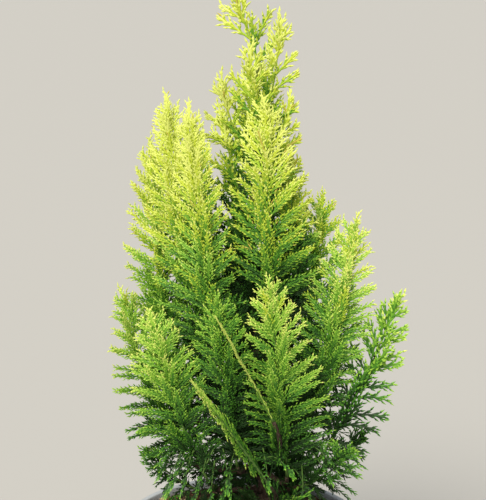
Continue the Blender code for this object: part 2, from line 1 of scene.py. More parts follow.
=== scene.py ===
"""Looks of a young golden conifer in a round nursery pot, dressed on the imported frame.

Units are metres, +Z is up and the photograph's side is -Y. Every fan of foliage grows from its own stem by
the rule that the solids follow: sprays that alternate in one plane, at an angle that closes towards the tip,
laid over one another like shingles. Here the rule is carried on to side twigs and scale-leaf tips.
"""

import json
import logging
import math
from dataclasses import dataclass, field
from enum import Enum

import bpy
import numpy as np
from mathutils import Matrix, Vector
from numpy.typing import NDArray

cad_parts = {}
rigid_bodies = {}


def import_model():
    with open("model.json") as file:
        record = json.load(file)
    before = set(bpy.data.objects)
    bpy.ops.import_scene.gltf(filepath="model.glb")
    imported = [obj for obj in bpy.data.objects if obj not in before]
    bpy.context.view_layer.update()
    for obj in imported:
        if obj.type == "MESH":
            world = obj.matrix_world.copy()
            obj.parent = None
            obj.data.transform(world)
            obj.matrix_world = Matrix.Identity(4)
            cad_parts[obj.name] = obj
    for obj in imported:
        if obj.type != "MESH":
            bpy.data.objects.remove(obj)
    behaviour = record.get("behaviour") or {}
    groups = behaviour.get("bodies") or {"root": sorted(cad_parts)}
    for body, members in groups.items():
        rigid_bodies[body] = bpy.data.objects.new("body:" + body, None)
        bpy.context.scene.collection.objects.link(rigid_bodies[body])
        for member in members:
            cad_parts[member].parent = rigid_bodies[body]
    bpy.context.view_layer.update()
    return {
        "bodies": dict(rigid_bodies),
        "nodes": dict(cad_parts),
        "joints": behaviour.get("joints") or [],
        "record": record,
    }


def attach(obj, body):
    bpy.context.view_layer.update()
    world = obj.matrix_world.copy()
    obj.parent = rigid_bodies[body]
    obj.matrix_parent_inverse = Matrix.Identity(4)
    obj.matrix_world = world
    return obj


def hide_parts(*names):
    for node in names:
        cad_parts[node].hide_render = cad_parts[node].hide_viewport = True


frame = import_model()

Array = NDArray[np.float64]
Whole = NDArray[np.int64]
LOG = logging.getLogger("potted_conifer")
SEED = 7


def linear(colour: str) -> tuple[float, float, float, float]:
    """Turns an sRGB hex colour into linear light.

    Args:
        colour: Six hex digits after a hash.

    Returns:
        Red, green, blue and an alpha of 1.
    """
    shares = [int(colour[i : i + 2], 16) / 255 for i in (1, 3, 5)]
    red, green, blue = [s / 12.92 if s <= 0.04045 else ((s + 0.055) / 1.055) ** 2.4 for s in shares]
    return red, green, blue, 1.0


def unit(vectors: Array) -> Array:
    """Vectors at length 1, along the last axis."""
    return vectors / np.maximum(np.linalg.norm(vectors, axis=-1, keepdims=True), 1e-12)


def add_node(
    tree: bpy.types.NodeTree,
    kind: str,
    inputs: dict[str, object] | None = None,
    **settings: object,
) -> bpy.types.Node:
    """Adds a node with its settings, values and links.

    Args:
        tree: The material's node tree.
        kind: The node's type name.
        inputs: For each socket's name, a value or the output socket that feeds it.
        settings: The node's own properties.

    Returns:
        The new node.
    """
    node = tree.nodes.new(kind)
    for name, value in settings.items():
        setattr(node, name, value)
    for name, value in (inputs or {}).items():
        if isinstance(value, bpy.types.NodeSocket):
            tree.links.new(value, node.inputs[name])
        else:
            node.inputs[name].default_value = value
    return node


def new_material(name: str) -> tuple[bpy.types.Material, bpy.types.NodeTree, bpy.types.Node]:
    """Makes a material.

    Args:
        name: The real material and how its surface was made.

    Returns:
        The material, its node tree and its Principled node.
    """
    made = bpy.data.materials.new(name)
    made.use_nodes = True
    return made, made.node_tree, made.node_tree.nodes["Principled BSDF"]


def ramp_node(tree: bpy.types.NodeTree, factor: bpy.types.NodeSocket, stops: dict[float, str]) -> bpy.types.Node:
    """Adds a colour ramp.

    Args:
        tree: The material's node tree.
        factor: The socket that drives it.
        stops: Place along the ramp and hex colour there.

    Returns:
        The ramp node.
    """
    node = add_node(tree, "ShaderNodeValToRGB", {"Fac": factor})
    elements = node.color_ramp.elements
    while len(elements) < len(stops):
        elements.new(1.0)
    for element, (place, colour) in zip(elements, sorted(stops.items())):
        element.position = place
        element.color = linear(colour)
    return node


class Tone(Enum):
    """Colours of the foliage, from the inside of the plant to its sunlit tips. The darkest paint the shade inside the
    crown; the palest are partly the young tips' own colour and partly a painted highlight.
    """

    SHADE = "#1B3810"
    DEEP = "#2E5A1A"
    GREEN = "#4A8024"
    LEAF = "#6FA32F"
    LIME = "#96C040"
    PALE_LIME = "#B4D858"
    YELLOW_LIME = "#A8C638"
    GOLD = "#C6D542"
    PALE_TIP = "#E0E976"
    # A tan fleck colour that paints the shade between the scale leaves.
    OLD_GOLD = "#C4B850"


GREEN_RAMP = (Tone.SHADE, Tone.DEEP, Tone.GREEN, Tone.LEAF, Tone.LIME, Tone.PALE_LIME, Tone.PALE_TIP)
GOLD_RAMP = (Tone.SHADE, Tone.DEEP, Tone.GREEN, Tone.LEAF, Tone.YELLOW_LIME, Tone.GOLD, Tone.PALE_TIP)


@dataclass(frozen=True)
class WaxyScaleLeaf:
    """Overlapping scale leaves with a thin wax: a soft, low gloss. One plain colour, dealt out by spray."""

    tone: Tone
    roughness: float = 0.55
    specular: float = 0.30

    def build(self) -> bpy.types.Material:
        """The material."""
        made, _, shader = new_material(f"waxy_scale_leaf_{self.tone.name.lower()}")
        shader.inputs["Base Color"].default_value = linear(self.tone.value)
        shader.inputs["Roughness"].default_value = self.roughness
        shader.inputs["Specular IOR Level"].default_value = self.specular
        return made


@dataclass(frozen=True)
class YoungBark:
    """Thin young bark that flakes in upright strips: dull red-brown, still green near the leader."""

    name: str = "young_flaking_bark"
    dark: str = "#2B2019"
    middle: str = "#44362B"
    light: str = "#6E5F50"
    green: str = "#6C7A33"
    green_from: float = 0.36
    green_to: float = 0.45
    flake_mm: float = 1.6
    stretch: float = 0.22

    def build(self) -> bpy.types.Material:
        """The material: noise drawn out along the stem, in its colour and in its bump."""
        made, tree, shader = new_material(self.name)
        place = add_node(tree, "ShaderNodeTexCoord").outputs["Object"]
        drawn = add_node(tree, "ShaderNodeMapping", {"Vector": place, "Scale": (1.0, 1.0, self.stretch)})
        scale = 1000.0 / self.flake_mm
        flakes = add_node(
            tree,
            "ShaderNodeTexNoise",
            {"Vector": drawn.outputs["Vector"], "Scale": scale, "Detail": 5.0, "Roughness": 0.6},
        )
        stops = {0.30: self.dark, 0.52: self.middle, 0.74: self.light}
        colour = ramp_node(tree, flakes.outputs["Fac"], stops)
        bump = add_node(
            tree, "ShaderNodeBump", {"Height": flakes.outputs["Fac"], "Distance": 0.0003, "Strength": 0.6}
        )
        axes = add_node(tree, "ShaderNodeSeparateXYZ", {"Vector": place})
        young = add_node(
            tree,
            "ShaderNodeMapRange",
            {"Value": axes.outputs["Z"], "From Min": self.green_from, "From Max": self.green_to},
        )
        mixed = add_node(
            tree,
            "ShaderNodeMix",
            {"Factor": young.outputs["Result"], "A": colour.outputs["Color"], "B": linear(self.green)},
            data_type="RGBA",
        )
        tree.links.new(mixed.outputs["Result"], shader.inputs["Base Color"])
        tree.links.new(bump.outputs["Normal"], shader.inputs["Normal"])
        shader.inputs["Roughness"].default_value = 0.82
        shader.inputs["Specular IOR Level"].default_value = 0.25
        return made


@dataclass(frozen=True)
class GreenTwig:
    """Young shoots before their bark: brown where they leave the bough, then green."""

    name: str
    colour: str

    def build(self) -> bpy.types.Material:
        """The material, one plain colour because the shoots are about a millimetre thick."""
        made, _, shader = new_material(self.name)
        shader.inputs["Base Color"].default_value = linear(self.colour)
        shader.inputs["Roughness"].default_value = 0.7
        return made


@dataclass(frozen=True)
class MouldedPolypropylene:
    """Injection-moulded grey polypropylene: satin, with a fine texture, dull patches and dust of compost."""

    name: str = "moulded_grey_polypropylene"
    colour: str = "#B4B9BC"
    worn: str = "#AAB0B3"
    dust: str = "#7E6C58"
    grain_mm: float = 0.7
    patch_mm: float = 24.0
    soiled_from: float = 0.143
    soiled_to: float = 0.149

    def build(self) -> bpy.types.Material:
        """The material: patches mix two greys, and compost dust clings to the inside below the rim."""
        made, tree, shader = new_material(self.name)
        place = add_node(tree, "ShaderNodeTexCoord").outputs["Object"]
        patches = add_node(
            tree, "ShaderNodeTexNoise", {"Vector": place, "Scale": 1000.0 / self.patch_mm, "Detail": 4.0}
        )
        grain = add_node(
            tree, "ShaderNodeTexNoise", {"Vector": place, "Scale": 1000.0 / self.grain_mm, "Detail": 2.0}
        )
        specks = add_node(tree, "ShaderNodeTexNoise", {"Vector": place, "Scale": 420.0, "Detail": 6.0})
        grey = ramp_node(tree, patches.outputs["Fac"], {0.35: self.worn, 0.60: self.colour})
        axes = add_node(tree, "ShaderNodeSeparateXYZ", {"Vector": place})
        across = add_node(tree, "ShaderNodeVectorMath", {0: place, 1: (1.0, 1.0, 0.0)}, operation="MULTIPLY")
        radius = add_node(tree, "ShaderNodeVectorMath", {0: across.outputs["Vector"]}, operation="LENGTH")
        low = add_node(
            tree,
            "ShaderNodeMapRange",
            {"Value": axes.outputs["Z"], "From Min": self.soiled_to, "From Max": self.soiled_from},
        )
        slope = (RIM_RADIUS - LIP_WIDTH - BASE_RADIUS) / (POT_HEIGHT - LIP_HEIGHT)
        wall = add_node(
            tree, "ShaderNodeMath", {0: axes.outputs["Z"], 1: slope, 2: BASE_RADIUS - WALL / 2}, operation="MULTIPLY_ADD"
        )
        inside = add_node(
            tree, "ShaderNodeMath", {0: radius.outputs["Value"], 1: wall.outputs["Value"]}, operation="LESS_THAN"
        )
        speckled = add_node(
            tree, "ShaderNodeMapRange", {"Value": specks.outputs["Fac"], "From Min": 0.46, "From Max": 0.62}
        )
        soiled = add_node(
            tree, "ShaderNodeMath", {0: low.outputs["Result"], 1: speckled.outputs["Result"]}, operation="MULTIPLY"
        )
        soiled = add_node(tree, "ShaderNodeMath", {0: soiled.outputs[0], 1: inside.outputs[0]}, operation="MULTIPLY")
        mixed = add_node(
            tree,
            "ShaderNodeMix",
            {"Factor": soiled.outputs[0], "A": grey.outputs["Color"], "B": linear(self.dust)},
            data_type="RGBA",
        )
        bump = add_node(
            tree, "ShaderNodeBump", {"Height": grain.outputs["Fac"], "Distance": 0.00008, "Strength": 0.5}
        )
        gloss = add_node(
            tree,
            "ShaderNodeMapRange",
            {"Value": patches.outputs["Fac"], "To Min": 0.36, "To Max": 0.52},
        )
        tree.links.new(mixed.outputs["Result"], shader.inputs["Base Color"])
        tree.links.new(gloss.outputs["Result"], shader.inputs["Roughness"])
        tree.links.new(bump.outputs["Normal"], shader.inputs["Normal"])
        shader.inputs["IOR"].default_value = 1.49
        return made


@dataclass(frozen=True)
class MoistCompost:
    """Moist bark compost: dark brown, with damp and dry patches; painted shade makes it nearly black in the hollows
    between its crumbs, and a painted highlight makes their tops pale.
    """

    name: str = "moist_bark_compost"
    crumb_mm: float = 3.0
    patch_mm: float = 14.0

    def build(self) -> bpy.types.Material:
        """The material: fine noise gives the crumbs, in the bump and in the colour alike, so the colour paints shade in
        their hollows and a highlight on their tops; coarse noise gives the damp and dry patches.
        """
        made, tree, shader = new_material(self.name)
        place = add_node(tree, "ShaderNodeTexCoord").outputs["Object"]
        crumbs = add_node(
            tree,
            "ShaderNodeTexNoise",
            {"Vector": place, "Scale": 1000.0 / self.crumb_mm, "Detail": 8.0, "Roughness": 0.7},
        )
        patches = add_node(
            tree, "ShaderNodeTexNoise", {"Vector": place, "Scale": 1000.0 / self.patch_mm, "Detail": 3.0}
        )
        both = add_node(
            tree,
            "ShaderNodeMath",
            {0: patches.outputs["Fac"], 1: 0.45, 2: crumbs.outputs["Fac"]},
            operation="MULTIPLY_ADD",
        )
        # Painted shade and painted highlight: near black where the crumbs' bump is low, pale where it is high.
        stops = {0.52: "#160E08", 0.68: "#33241A", 0.82: "#57412F", 0.96: "#8F7A60"}
        colour = ramp_node(tree, both.outputs["Value"], stops)
        bump = add_node(
            tree, "ShaderNodeBump", {"Height": crumbs.outputs["Fac"], "Distance": 0.0012, "Strength": 0.9}
        )
        tree.links.new(colour.outputs["Color"], shader.inputs["Base Color"])
        tree.links.new(bump.outputs["Normal"], shader.inputs["Normal"])
        shader.inputs["Roughness"].default_value = 0.9
        shader.inputs["Specular IOR Level"].default_value = 0.2
        return made


@dataclass(frozen=True)
class BarkChip:
    """A chip of composted pine bark: split along its grain, dry and dull."""

    name: str
    colour: str

    def build(self) -> bpy.types.Material:
        """The material, one plain colour dealt out by chip."""
        made, _, shader = new_material(self.name)
        shader.inputs["Base Color"].default_value = linear(self.colour)
        shader.inputs["Roughness"].default_value = 0.85
        shader.inputs["Specular IOR Level"].default_value = 0.2
        return made


@dataclass(frozen=True)
class PaleFloor:
    """A plain pale studio floor, painted matt."""

    name: str = "pale_matt_floor"
    colour: str = "#BBB9B4"

    def build(self) -> bpy.types.Material:
        """The material."""
        made, _, shader = new_material(self.name)
        shader.inputs["Base Color"].default_value = linear(self.colour)
        shader.inputs["Roughness"].default_value = 0.8
        return made


def put_mesh(name: str, points: Array, faces: Whole, slots: Whole | None = None, smooth: bool = True) -> bpy.types.Object:
    """Puts arrays into a new mesh and object at the origin.

    Args:
        name: The piece's name.
        points: Places, one row each.
        faces: Corners of triangles or quads, one row each, counter-clockwise seen from outside.
        slots: The material slot of each face.
        smooth: Whether the faces are shaded smooth.

    Returns:
        The object, linked to the scene.
    """
    mesh = bpy.data.meshes.new(name)
    corners = faces.shape[1]
    mesh.vertices.add(len(points))
    mesh.vertices.foreach_set("co", points.astype(np.float32).ravel())
    mesh.loops.add(faces.size)
    mesh.loops.foreach_set("vertex_index", faces.astype(np.int32).ravel())
    mesh.polygons.add(len(faces))
    mesh.polygons.foreach_set("loop_start", np.arange(0, faces.size, corners, dtype=np.int32))
    mesh.polygons.foreach_set("use_smooth", np.full(len(faces), smooth))
    if slots is not None:
        mesh.polygons.foreach_set("material_index", slots.astype(np.int32))
    mesh.update(calc_edges=True)
    piece = bpy.data.objects.new(name, mesh)
    bpy.context.scene.collection.objects.link(piece)
    return piece


def dress(piece: bpy.types.Object, finishes: list[bpy.types.Material], nodes: list[str]) -> bpy.types.Object:
    """Gives a finished piece its materials and its place in the frame.

    Args:
        piece: The piece.
        finishes: Its materials, in slot order.
        nodes: The CAD nodes that it stands for.

    Returns:
        The same piece.
    """
    for finish in finishes:
        piece.data.materials.append(finish)
    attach(piece, "root")
    if nodes:
        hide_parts(*nodes)
    LOG.info("%s: %d faces", piece.name, len(piece.data.polygons))
    return piece


def tube_surface(path: Array, radii: Array, sides: int, relief: Array | None = None) -> tuple[Array, Whole]:
    """A tube along a path, closed at both ends.

    Each ring is the path's point plus the radius times cos and sin of the angle round it, in a frame that
    is carried along the path without turning. Relief adds to the radius at each ring and angle.

    Args:
        path: Middle of each ring.
        radii: Radius of each ring.
        sides: Points round each ring.
        relief: Extra radius for each ring and angle.

    Returns:
        Points and quads; each end closes on its ring's middle with quads that meet there.
    """
    along = unit(np.gradient(path, axis=0))
    first = unit(np.cross(along, [0.0, 1.0, 0.0]))
    second = np.cross(along, first)
    turn = np.linspace(0.0, 2.0 * np.pi, sides, endpoint=False)
    radius = radii[:, None] + (0.0 if relief is None else relief)
    radius = np.broadcast_to(radius, (len(path), sides))
    ring = np.cos(turn)[None, :, None] * first[:, None] + np.sin(turn)[None, :, None] * second[:, None]
    rings = path[:, None] + radius[..., None] * ring
    points = np.concatenate([rings.reshape(-1, 3), path[:1], path[-1:]])
    row, col = np.meshgrid(np.arange(len(path) - 1), np.arange(sides), indexing="ij")
    here, there = row * sides + col, row * sides + (col + 1) % sides
    walls = np.stack([here, there, there + sides, here + sides], axis=-1).reshape(-1, 4)
    side = np.arange(0, sides, 2)
    low, high = len(points) - 2, len(points) - 1
    top = (len(path) - 1) * sides
    start = np.stack([np.full(len(side), low), (side + 2) % sides, (side + 1) % sides, side], axis=-1)
    end = np.stack([np.full(len(side), high), top + side, top + (side + 1) % sides, top + (side + 2) % sides], axis=-1)
    return points, np.concatenate([walls, start, end])


def spindles(paths: Array, across: Array, facing: Array, half_width: Array, half_depth: Array) -> tuple[Array, Whole]:
    """Slim closed rods of four-sided section that come to a point at both ends.

    Rod i has its stations at paths[i]. Every station but the first and last is a lozenge whose corners are
    the station plus and minus the half width across, and plus and minus the half depth facing.

    Args:
        paths: Stations of each rod.
        across: Direction of each rod's width.
        facing: Direction of each rod's thickness.
        half_width: Half the width at each inner station.
        half_depth: Half the thickness at each inner station.

    Returns:
        Points and triangles.
    """
    count, stations = paths.shape[:2]
    inner = stations - 2
    wide = half_width[..., None] * across[:, None]
    deep = half_depth[..., None] * facing[:, None]
    middle = paths[:, 1:-1]
    rings = np.stack([middle + wide, middle + deep, middle - wide, middle - deep], axis=2)
    points = np.concatenate([paths[:, :1], rings.reshape(count, -1, 3), paths[:, -1:]], axis=1)
    size = points.shape[1]
    corner = np.arange(4)
    following = (corner + 1) % 4
    start = np.stack([np.zeros(4, int), 1 + following, 1 + corner], axis=-1)
    last = 1 + 4 * (inner - 1)
    end = np.stack([last + corner, last + following, np.full(4, size - 1)], axis=-1)
    walls = []
    for ring in range(inner - 1):
        low, high = 1 + 4 * ring, 5 + 4 * ring
        walls.append(np.stack([low + corner, low + following, high + following], axis=-1))
        walls.append(np.stack([low + corner, high + following, high + corner], axis=-1))
    shape = np.concatenate([start, *walls, end])
    faces = (np.arange(count) * size)[:, None, None] + shape[None]
    return points.reshape(-1, 3), faces.reshape(-1, 3)


def ripples(u: Array, v: Array, rng: np.random.Generator, waves: int, round_most: int, along_most: float) -> Array:
    """Smooth relief between about -1 and 1: a sum of cosines of whole turns of u plus multiples of v.

    Args:
        u: Angle round the piece.
        v: Distance along it in metres.
        rng: Source of the waves' directions and phases.
        waves: How many cosines are summed.
        round_most: Most waves in one turn.
        along_most: Most waves in one metre.

    Returns:
        The relief, in the shape of u and v together.
    """
    total = np.zeros(np.broadcast(u, v).shape)
    for _ in range(waves):
        turns = rng.integers(1, round_most + 1)
        run = rng.uniform(-along_most, along_most)
        total += np.cos(turns * u + 2 * np.pi * run * v + rng.uniform(0, 2 * np.pi))
    return total / math.sqrt(waves)


POT_HEIGHT = 0.150
RIM_RADIUS = 0.095
LIP_HEIGHT = 0.012
LIP_WIDTH = 0.0042
BASE_RADIUS = 0.070
WALL = 0.0018
BASE_THICKNESS = 0.0024
COMPOST_TOP = 0.1455
CLEARANCE = 0.0003


@dataclass
class NurseryPot:
    """The round tapering pot: a turned shell with a rolled lip, a stacking step and six drainage holes."""

    bead: float = 0.0009
    foot: float = 0.0025
    steps: int = 180
    holes: int = 6
    hole_radius: float = 0.0055
    hole_circle: float = 0.052
    finish: MouldedPolypropylene = field(default_factory=MouldedPolypropylene)

    def outside(self, height: float) -> float:
        """Outer radius of the wall at a height below the lip."""
        return BASE_RADIUS + (RIM_RADIUS - LIP_WIDTH - BASE_RADIUS) * height / (POT_HEIGHT - LIP_HEIGHT)

    def profile(self) -> Array:
        """Radius and height of the shell's outline, from the underside's middle round to the floor's middle.

        Each corner of the section is rounded by a quarter circle of five points.
        """
        lip = POT_HEIGHT - LIP_HEIGHT
        corners = [
            (BASE_RADIUS - self.foot * 0.2, 0.0, self.foot),
            (self.outside(lip) - 0.0001, lip, 0.0006),
            (RIM_RADIUS - 0.0006, lip, 0.0008),
            (RIM_RADIUS, POT_HEIGHT, self.bead * 1.6),
            (RIM_RADIUS - LIP_WIDTH - 0.0004, POT_HEIGHT, self.bead * 1.6),
            (self.outside(lip) - WALL + 0.0009, lip - 0.0005, 0.0007),
            (self.outside(lip) - WALL, lip - 0.0030, 0.0008),
            (self.outside(0.012) - WALL, 0.012, 0.004),
            (BASE_RADIUS - 0.006, BASE_THICKNESS, 0.003),
        ]
        places = np.array([(0.0, 0.0)] + [corner[:2] for corner in corners] + [(0.0, BASE_THICKNESS)])
        outline = [places[0]]
        for index, corner in enumerate(corners, start=1):
            back = unit(places[index - 1] - places[index])
            onward = unit(places[index + 1] - places[index])
            start, end = places[index] + corner[2] * back, places[index] + corner[2] * onward
            t = np.linspace(0.0, 1.0, 5)[:, None]
            outline.extend((1 - t) ** 2 * start + 2 * t * (1 - t) * places[index] + t**2 * end)
        outline.append(places[-1])
        return np.array(outline)

    def build(self) -> bpy.types.Object:
        """Turns the outline about the Z axis, cuts the holes and dresses the pot."""
        outline = self.profile()
        turn = np.linspace(0.0, 2.0 * np.pi, self.steps, endpoint=False)
        inner = outline[1:-1]
        rings = np.stack(
            [
                inner[:, :1] * np.cos(turn)[None],
                inner[:, :1] * np.sin(turn)[None],
                np.broadcast_to(inner[:, 1:], (len(inner), self.steps)),
            ],
            axis=-1,
        )
        points = np.concatenate([rings.reshape(-1, 3), [[0, 0, 0], [0, 0, BASE_THICKNESS]]])
        row, col = np.meshgrid(np.arange(len(inner) - 1), np.arange(self.steps), indexing="ij")
        here, there = row * self.steps + col, row * self.steps + (col + 1) % self.steps
        walls = np.stack([here, there, there + self.steps, here + self.steps], axis=-1).reshape(-1, 4)
        side = np.arange(0, self.steps, 2)
        ring = (len(inner) - 1) * self.steps
        low, high = len(points) - 2, len(points) - 1
        under = np.stack([np.full(len(side), low), (side + 2) % self.steps, side + 1, side], axis=-1)
        floor = np.stack([np.full(len(side), high), ring + side, ring + side + 1, ring + (side + 2) % self.steps], axis=-1)
        pot = put_mesh("pot_shell", points, np.concatenate([walls, under, floor]))
        self.drill(pot)
        pot.data.set_sharp_from_angle(angle=math.radians(40))
        return dress(pot, [self.finish.build()], ["pot"])

    def drill(self, pot: bpy.types.Object) -> None:
        """Cuts the drainage holes through the base and applies the cut.

        Args:
            pot: The turned shell.
        """
        angles = 2.0 * np.pi * (np.arange(self.holes) + 0.5) / self.holes
        parts, faces = [], []
        for angle in angles:
            x, y = self.hole_circle * math.cos(angle), self.hole_circle * math.sin(angle)
            path = np.array([[x, y, -0.004], [x, y, 0.0], [x, y, 0.004], [x, y, 0.008]])
            points, quads = tube_surface(path, np.full(4, self.hole_radius), 32)
            faces.append(quads + sum(len(part) for part in parts))
            parts.append(points)
        cutter = put_mesh("drill", np.concatenate(parts), np.concatenate(faces))
        cut = pot.modifiers.new("holes", "BOOLEAN")
        cut.operation = "DIFFERENCE"
        cut.object = cutter
        done = bpy.data.meshes.new_from_object(pot.evaluated_get(bpy.context.evaluated_depsgraph_get()))
        pot.modifiers.clear()
        pot.data = done
        bpy.data.objects.remove(cutter, do_unlink=True)


@dataclass
class Compost:
    """The fill: a crumbly top that dips at its edge and heaps a little at the trunk, with chips lying on it."""

    edge: float = 0.0896
    drop: float = 0.003
    drop_width: float = 0.014
    crumb: float = 0.0011
    heap: float = 0.0012
    foot: tuple[float, float] = (0.017, 0.004)
    rings: int = 90
    steps: int = 320
    chips: int = 2600
    finish: MoistCompost = field(default_factory=MoistCompost)
    chip_finishes: tuple[BarkChip, ...] = (
        BarkChip("dark_wet_bark_chip", "#21160F"),
        BarkChip("brown_bark_chip", "#4A3323"),
        BarkChip("red_brown_bark_chip", "#6B4C36"),
        BarkChip("dry_tan_bark_chip", "#A08A6E"),
    )

    def height(self, x: Array, y: Array) -> Array:
        """Height of the top: level, dipping by a square law at the edge, heaped by a bell at the trunk.

        The crumbs add a sum of cosines in both directions at lengths from 30 mm down to 3 mm.
        """
        rng = np.random.default_rng(SEED + 1)
        radius = np.hypot(x, y)
        dip = self.drop * np.clip((radius - self.edge + self.drop_width) / self.drop_width, 0, 1) ** 2
        bell = self.heap * np.exp(-(((x - self.foot[0]) ** 2 + (y - self.foot[1]) ** 2) / 0.016**2))
        rough = np.zeros_like(x)
        for length in np.geomspace(0.030, 0.0032, 34):
            way = rng.uniform(0, np.pi)
            wave = 2 * np.pi * (x * math.cos(way) + y * math.sin(way)) / length
            rough += (length / 0.03) ** 0.35 * np.cos(wave + rng.uniform(0, 2 * np.pi))
        return COMPOST_TOP - dip + bell + self.crumb * rough / 3.2

    def build(self) -> None:
        """Builds the fill and its chips."""
        share = np.linspace(0.0, 1.0, self.rings + 1)[1:]
        turn = np.linspace(0.0, 2.0 * np.pi, self.steps, endpoint=False)
        radius = (self.edge * share)[:, None]
        x, y = radius * np.cos(turn), radius * np.sin(turn)
        top = np.stack([x, y, self.height(x, y)], axis=-1)[::-1]
        floor = BASE_THICKNESS + CLEARANCE
        low_radius = BASE_RADIUS - 0.0068
        around = np.stack([np.cos(turn), np.sin(turn)], axis=-1)
        skirt = [(BASE_RADIUS - 0.0022, 0.012), (low_radius, floor)]
        lower = [np.column_stack([r * around, np.full(self.steps, h)]) for r, h in skirt]
        rings = np.concatenate([np.stack(lower[::-1]), top])
        points = np.concatenate([rings.reshape(-1, 3), [[0, 0, floor], [0, 0, COMPOST_TOP]]])
        row, col = np.meshgrid(np.arange(len(rings) - 1), np.arange(self.steps), indexing="ij")
        here, there = row * self.steps + col, row * self.steps + (col + 1) % self.steps
        walls = np.stack([here, there, there + self.steps, here + self.steps], axis=-1).reshape(-1, 4)
        side = np.arange(0, self.steps, 2)
        last = (len(rings) - 1) * self.steps
        under, over = len(points) - 2, len(points) - 1
        bottom = np.stack([np.full(len(side), under), (side + 2) % self.steps, side + 1, side], axis=-1)
        crown = np.stack([np.full(len(side), over), last + side, last + side + 1, last + (side + 2) % self.steps], axis=-1)
        fill = put_mesh("compost_fill", points, np.concatenate([walls, bottom, crown]))
        dress(fill, [self.finish.build()], ["compost"])
        self.scatter()

    def scatter(self) -> None:
        """Lays the chips: boxes of eight corners, each pulled about at random, sunk into the top by a third."""
        rng = np.random.default_rng(SEED + 2)
        count = self.chips
        spread = (self.edge - 0.004) * np.sqrt(rng.random(count))
        angle = rng.uniform(0, 2 * np.pi, count)
        x, y = spread * np.cos(angle), spread * np.sin(angle)
        clear = np.hypot(x - self.foot[0], y - self.foot[1]) > 0.012
        x, y = x[clear], y[clear]
        count = len(x)
        long = 0.0016 + 0.0085 * rng.random(count) ** 3
        size = np.stack([long, long * rng.uniform(0.35, 0.8, count), long * rng.uniform(0.16, 0.4, count)], axis=-1)
        heading, tilt, roll = rng.uniform(0, 2 * np.pi, count), rng.normal(0, 0.25, count), rng.normal(0, 0.3, count)
        first = np.stack([np.cos(heading) * np.cos(tilt), np.sin(heading) * np.cos(tilt), np.sin(tilt)], axis=-1)
        level = unit(np.cross([0.0, 0.0, 1.0], first))
        upright = np.cross(first, level)
        second = np.cos(roll)[:, None] * level + np.sin(roll)[:, None] * upright
        third = np.cross(first, second)
        corner = np.array([[i, j, k] for k in (-1, 1) for j in (-1, 1) for i in (-1, 1)], float) / 2
        shape = corner[None] * rng.uniform(0.55, 1.0, (count, 8, 3))
        local = shape * size[:, None]
        centre = np.stack([x, y, self.height(x, y) + 0.22 * size[:, 2]], axis=-1)
        points = (
            centre[:, None]
            + local[..., :1] * first[:, None]
            + local[..., 1:2] * second[:, None]
            + local[..., 2:] * third[:, None]
        )
        box = np.array([[0, 2, 3, 1], [4, 5, 7, 6], [0, 1, 5, 4], [2, 6, 7, 3], [0, 4, 6, 2], [1, 3, 7, 5]])
        faces = (np.arange(count) * 8)[:, None, None] + box[None]
        tone = rng.choice(4, count, p=[0.36, 0.34, 0.18, 0.12])
        chips = put_mesh("bark_chips", points.reshape(-1, 3), faces.reshape(-1, 4), np.repeat(tone, 6), smooth=False)
        dress(chips, [finish.build() for finish in self.chip_finishes], [])


@dataclass
class Trunk:
    """The trunk: its course, taper and flare as in the solids, with bark relief."""

    course: tuple[tuple[float, float, float], ...] = (
        (COMPOST_TOP + CLEARANCE, 0.017, 0.004),
        (0.180, 0.017, 0.004),
        (0.250, 0.013, 0.004),
        (0.330, 0.007, 0.005),
        (0.400, 0.007, 0.004),
        (0.465, 0.012, 0.002),
        (0.508, 0.011, 0.000),
    )
    radius: float = 0.0052
    tip_radius: float = 0.0013
    flare: float = 0.0038
    flare_height: float = 0.008
    relief: float = 0.00028
    rings: int = 360
    sides: int = 36

    def at(self, height: Array) -> Array:
        """Middle of the trunk: a smooth curve through the course, by cubic Hermite spans.

        Args:
            height: Heights, clipped to the trunk's ends.

        Returns:
            Places, one row for each height.
        """
        course = np.array(self.course)
        heights = course[:, 0]
        height = np.clip(np.atleast_1d(height), heights[0], heights[-1])
        k = np.clip(np.searchsorted(heights, height) - 1, 0, len(heights) - 2)
        slopes = np.gradient(course[:, 1:], heights, axis=0)
        span = (heights[k + 1] - heights[k])[:, None]
        u = ((height - heights[k]) / span[:, 0])[:, None]
        level = (
            (2 * u**3 - 3 * u**2 + 1) * course[k, 1:]
            + (u**3 - 2 * u**2 + u) * span * slopes[k]
            + (3 * u**2 - 2 * u**3) * course[k + 1, 1:]
            + (u**3 - u**2) * span * slopes[k + 1]
        )
        return np.column_stack([level, height])

    def thickness(self, height: Array) -> Array:
        """Radius: a straight taper plus a flare that dies out above the ground."""
        foot, top = self.course[0][0], self.course[-1][0]
        taper = self.radius + (self.tip_radius - self.radius) * (height - foot) / (top - foot)
        return taper + self.flare * np.exp(-(height - foot) / self.flare_height)

    def build(self, bark: bpy.types.Material) -> None:
        """Builds the trunk: strips of bark that stand out and sink back round the taper.

        Args:
            bark: Its material.
        """
        rng = np.random.default_rng(SEED + 3)
        heights = np.linspace(self.course[0][0], self.course[-1][0], self.rings)
        turn = np.linspace(0.0, 2.0 * np.pi, self.sides, endpoint=False)
        radii = self.thickness(heights)
        strips = ripples(turn[None], heights[:, None], rng, 18, 9, 90.0)
        relief = self.relief * strips * (radii / radii[0] + 0.25)[:, None]
        points, quads = tube_surface(self.at(heights), radii, self.sides, relief)
        dress(put_mesh("trunk_bark", points, quads), [bark], ["trunk"])


class Region(Enum):
    """Parts of the crown; the foliage of each is one piece."""

    LEADER = "leader"
    CROWN = "crown"
    TOWER = "tower"
    LEFT = "left"
    FRONT = "front"
    RIGHT = "right"
    BACK = "back"
    INSIDE = "inside"


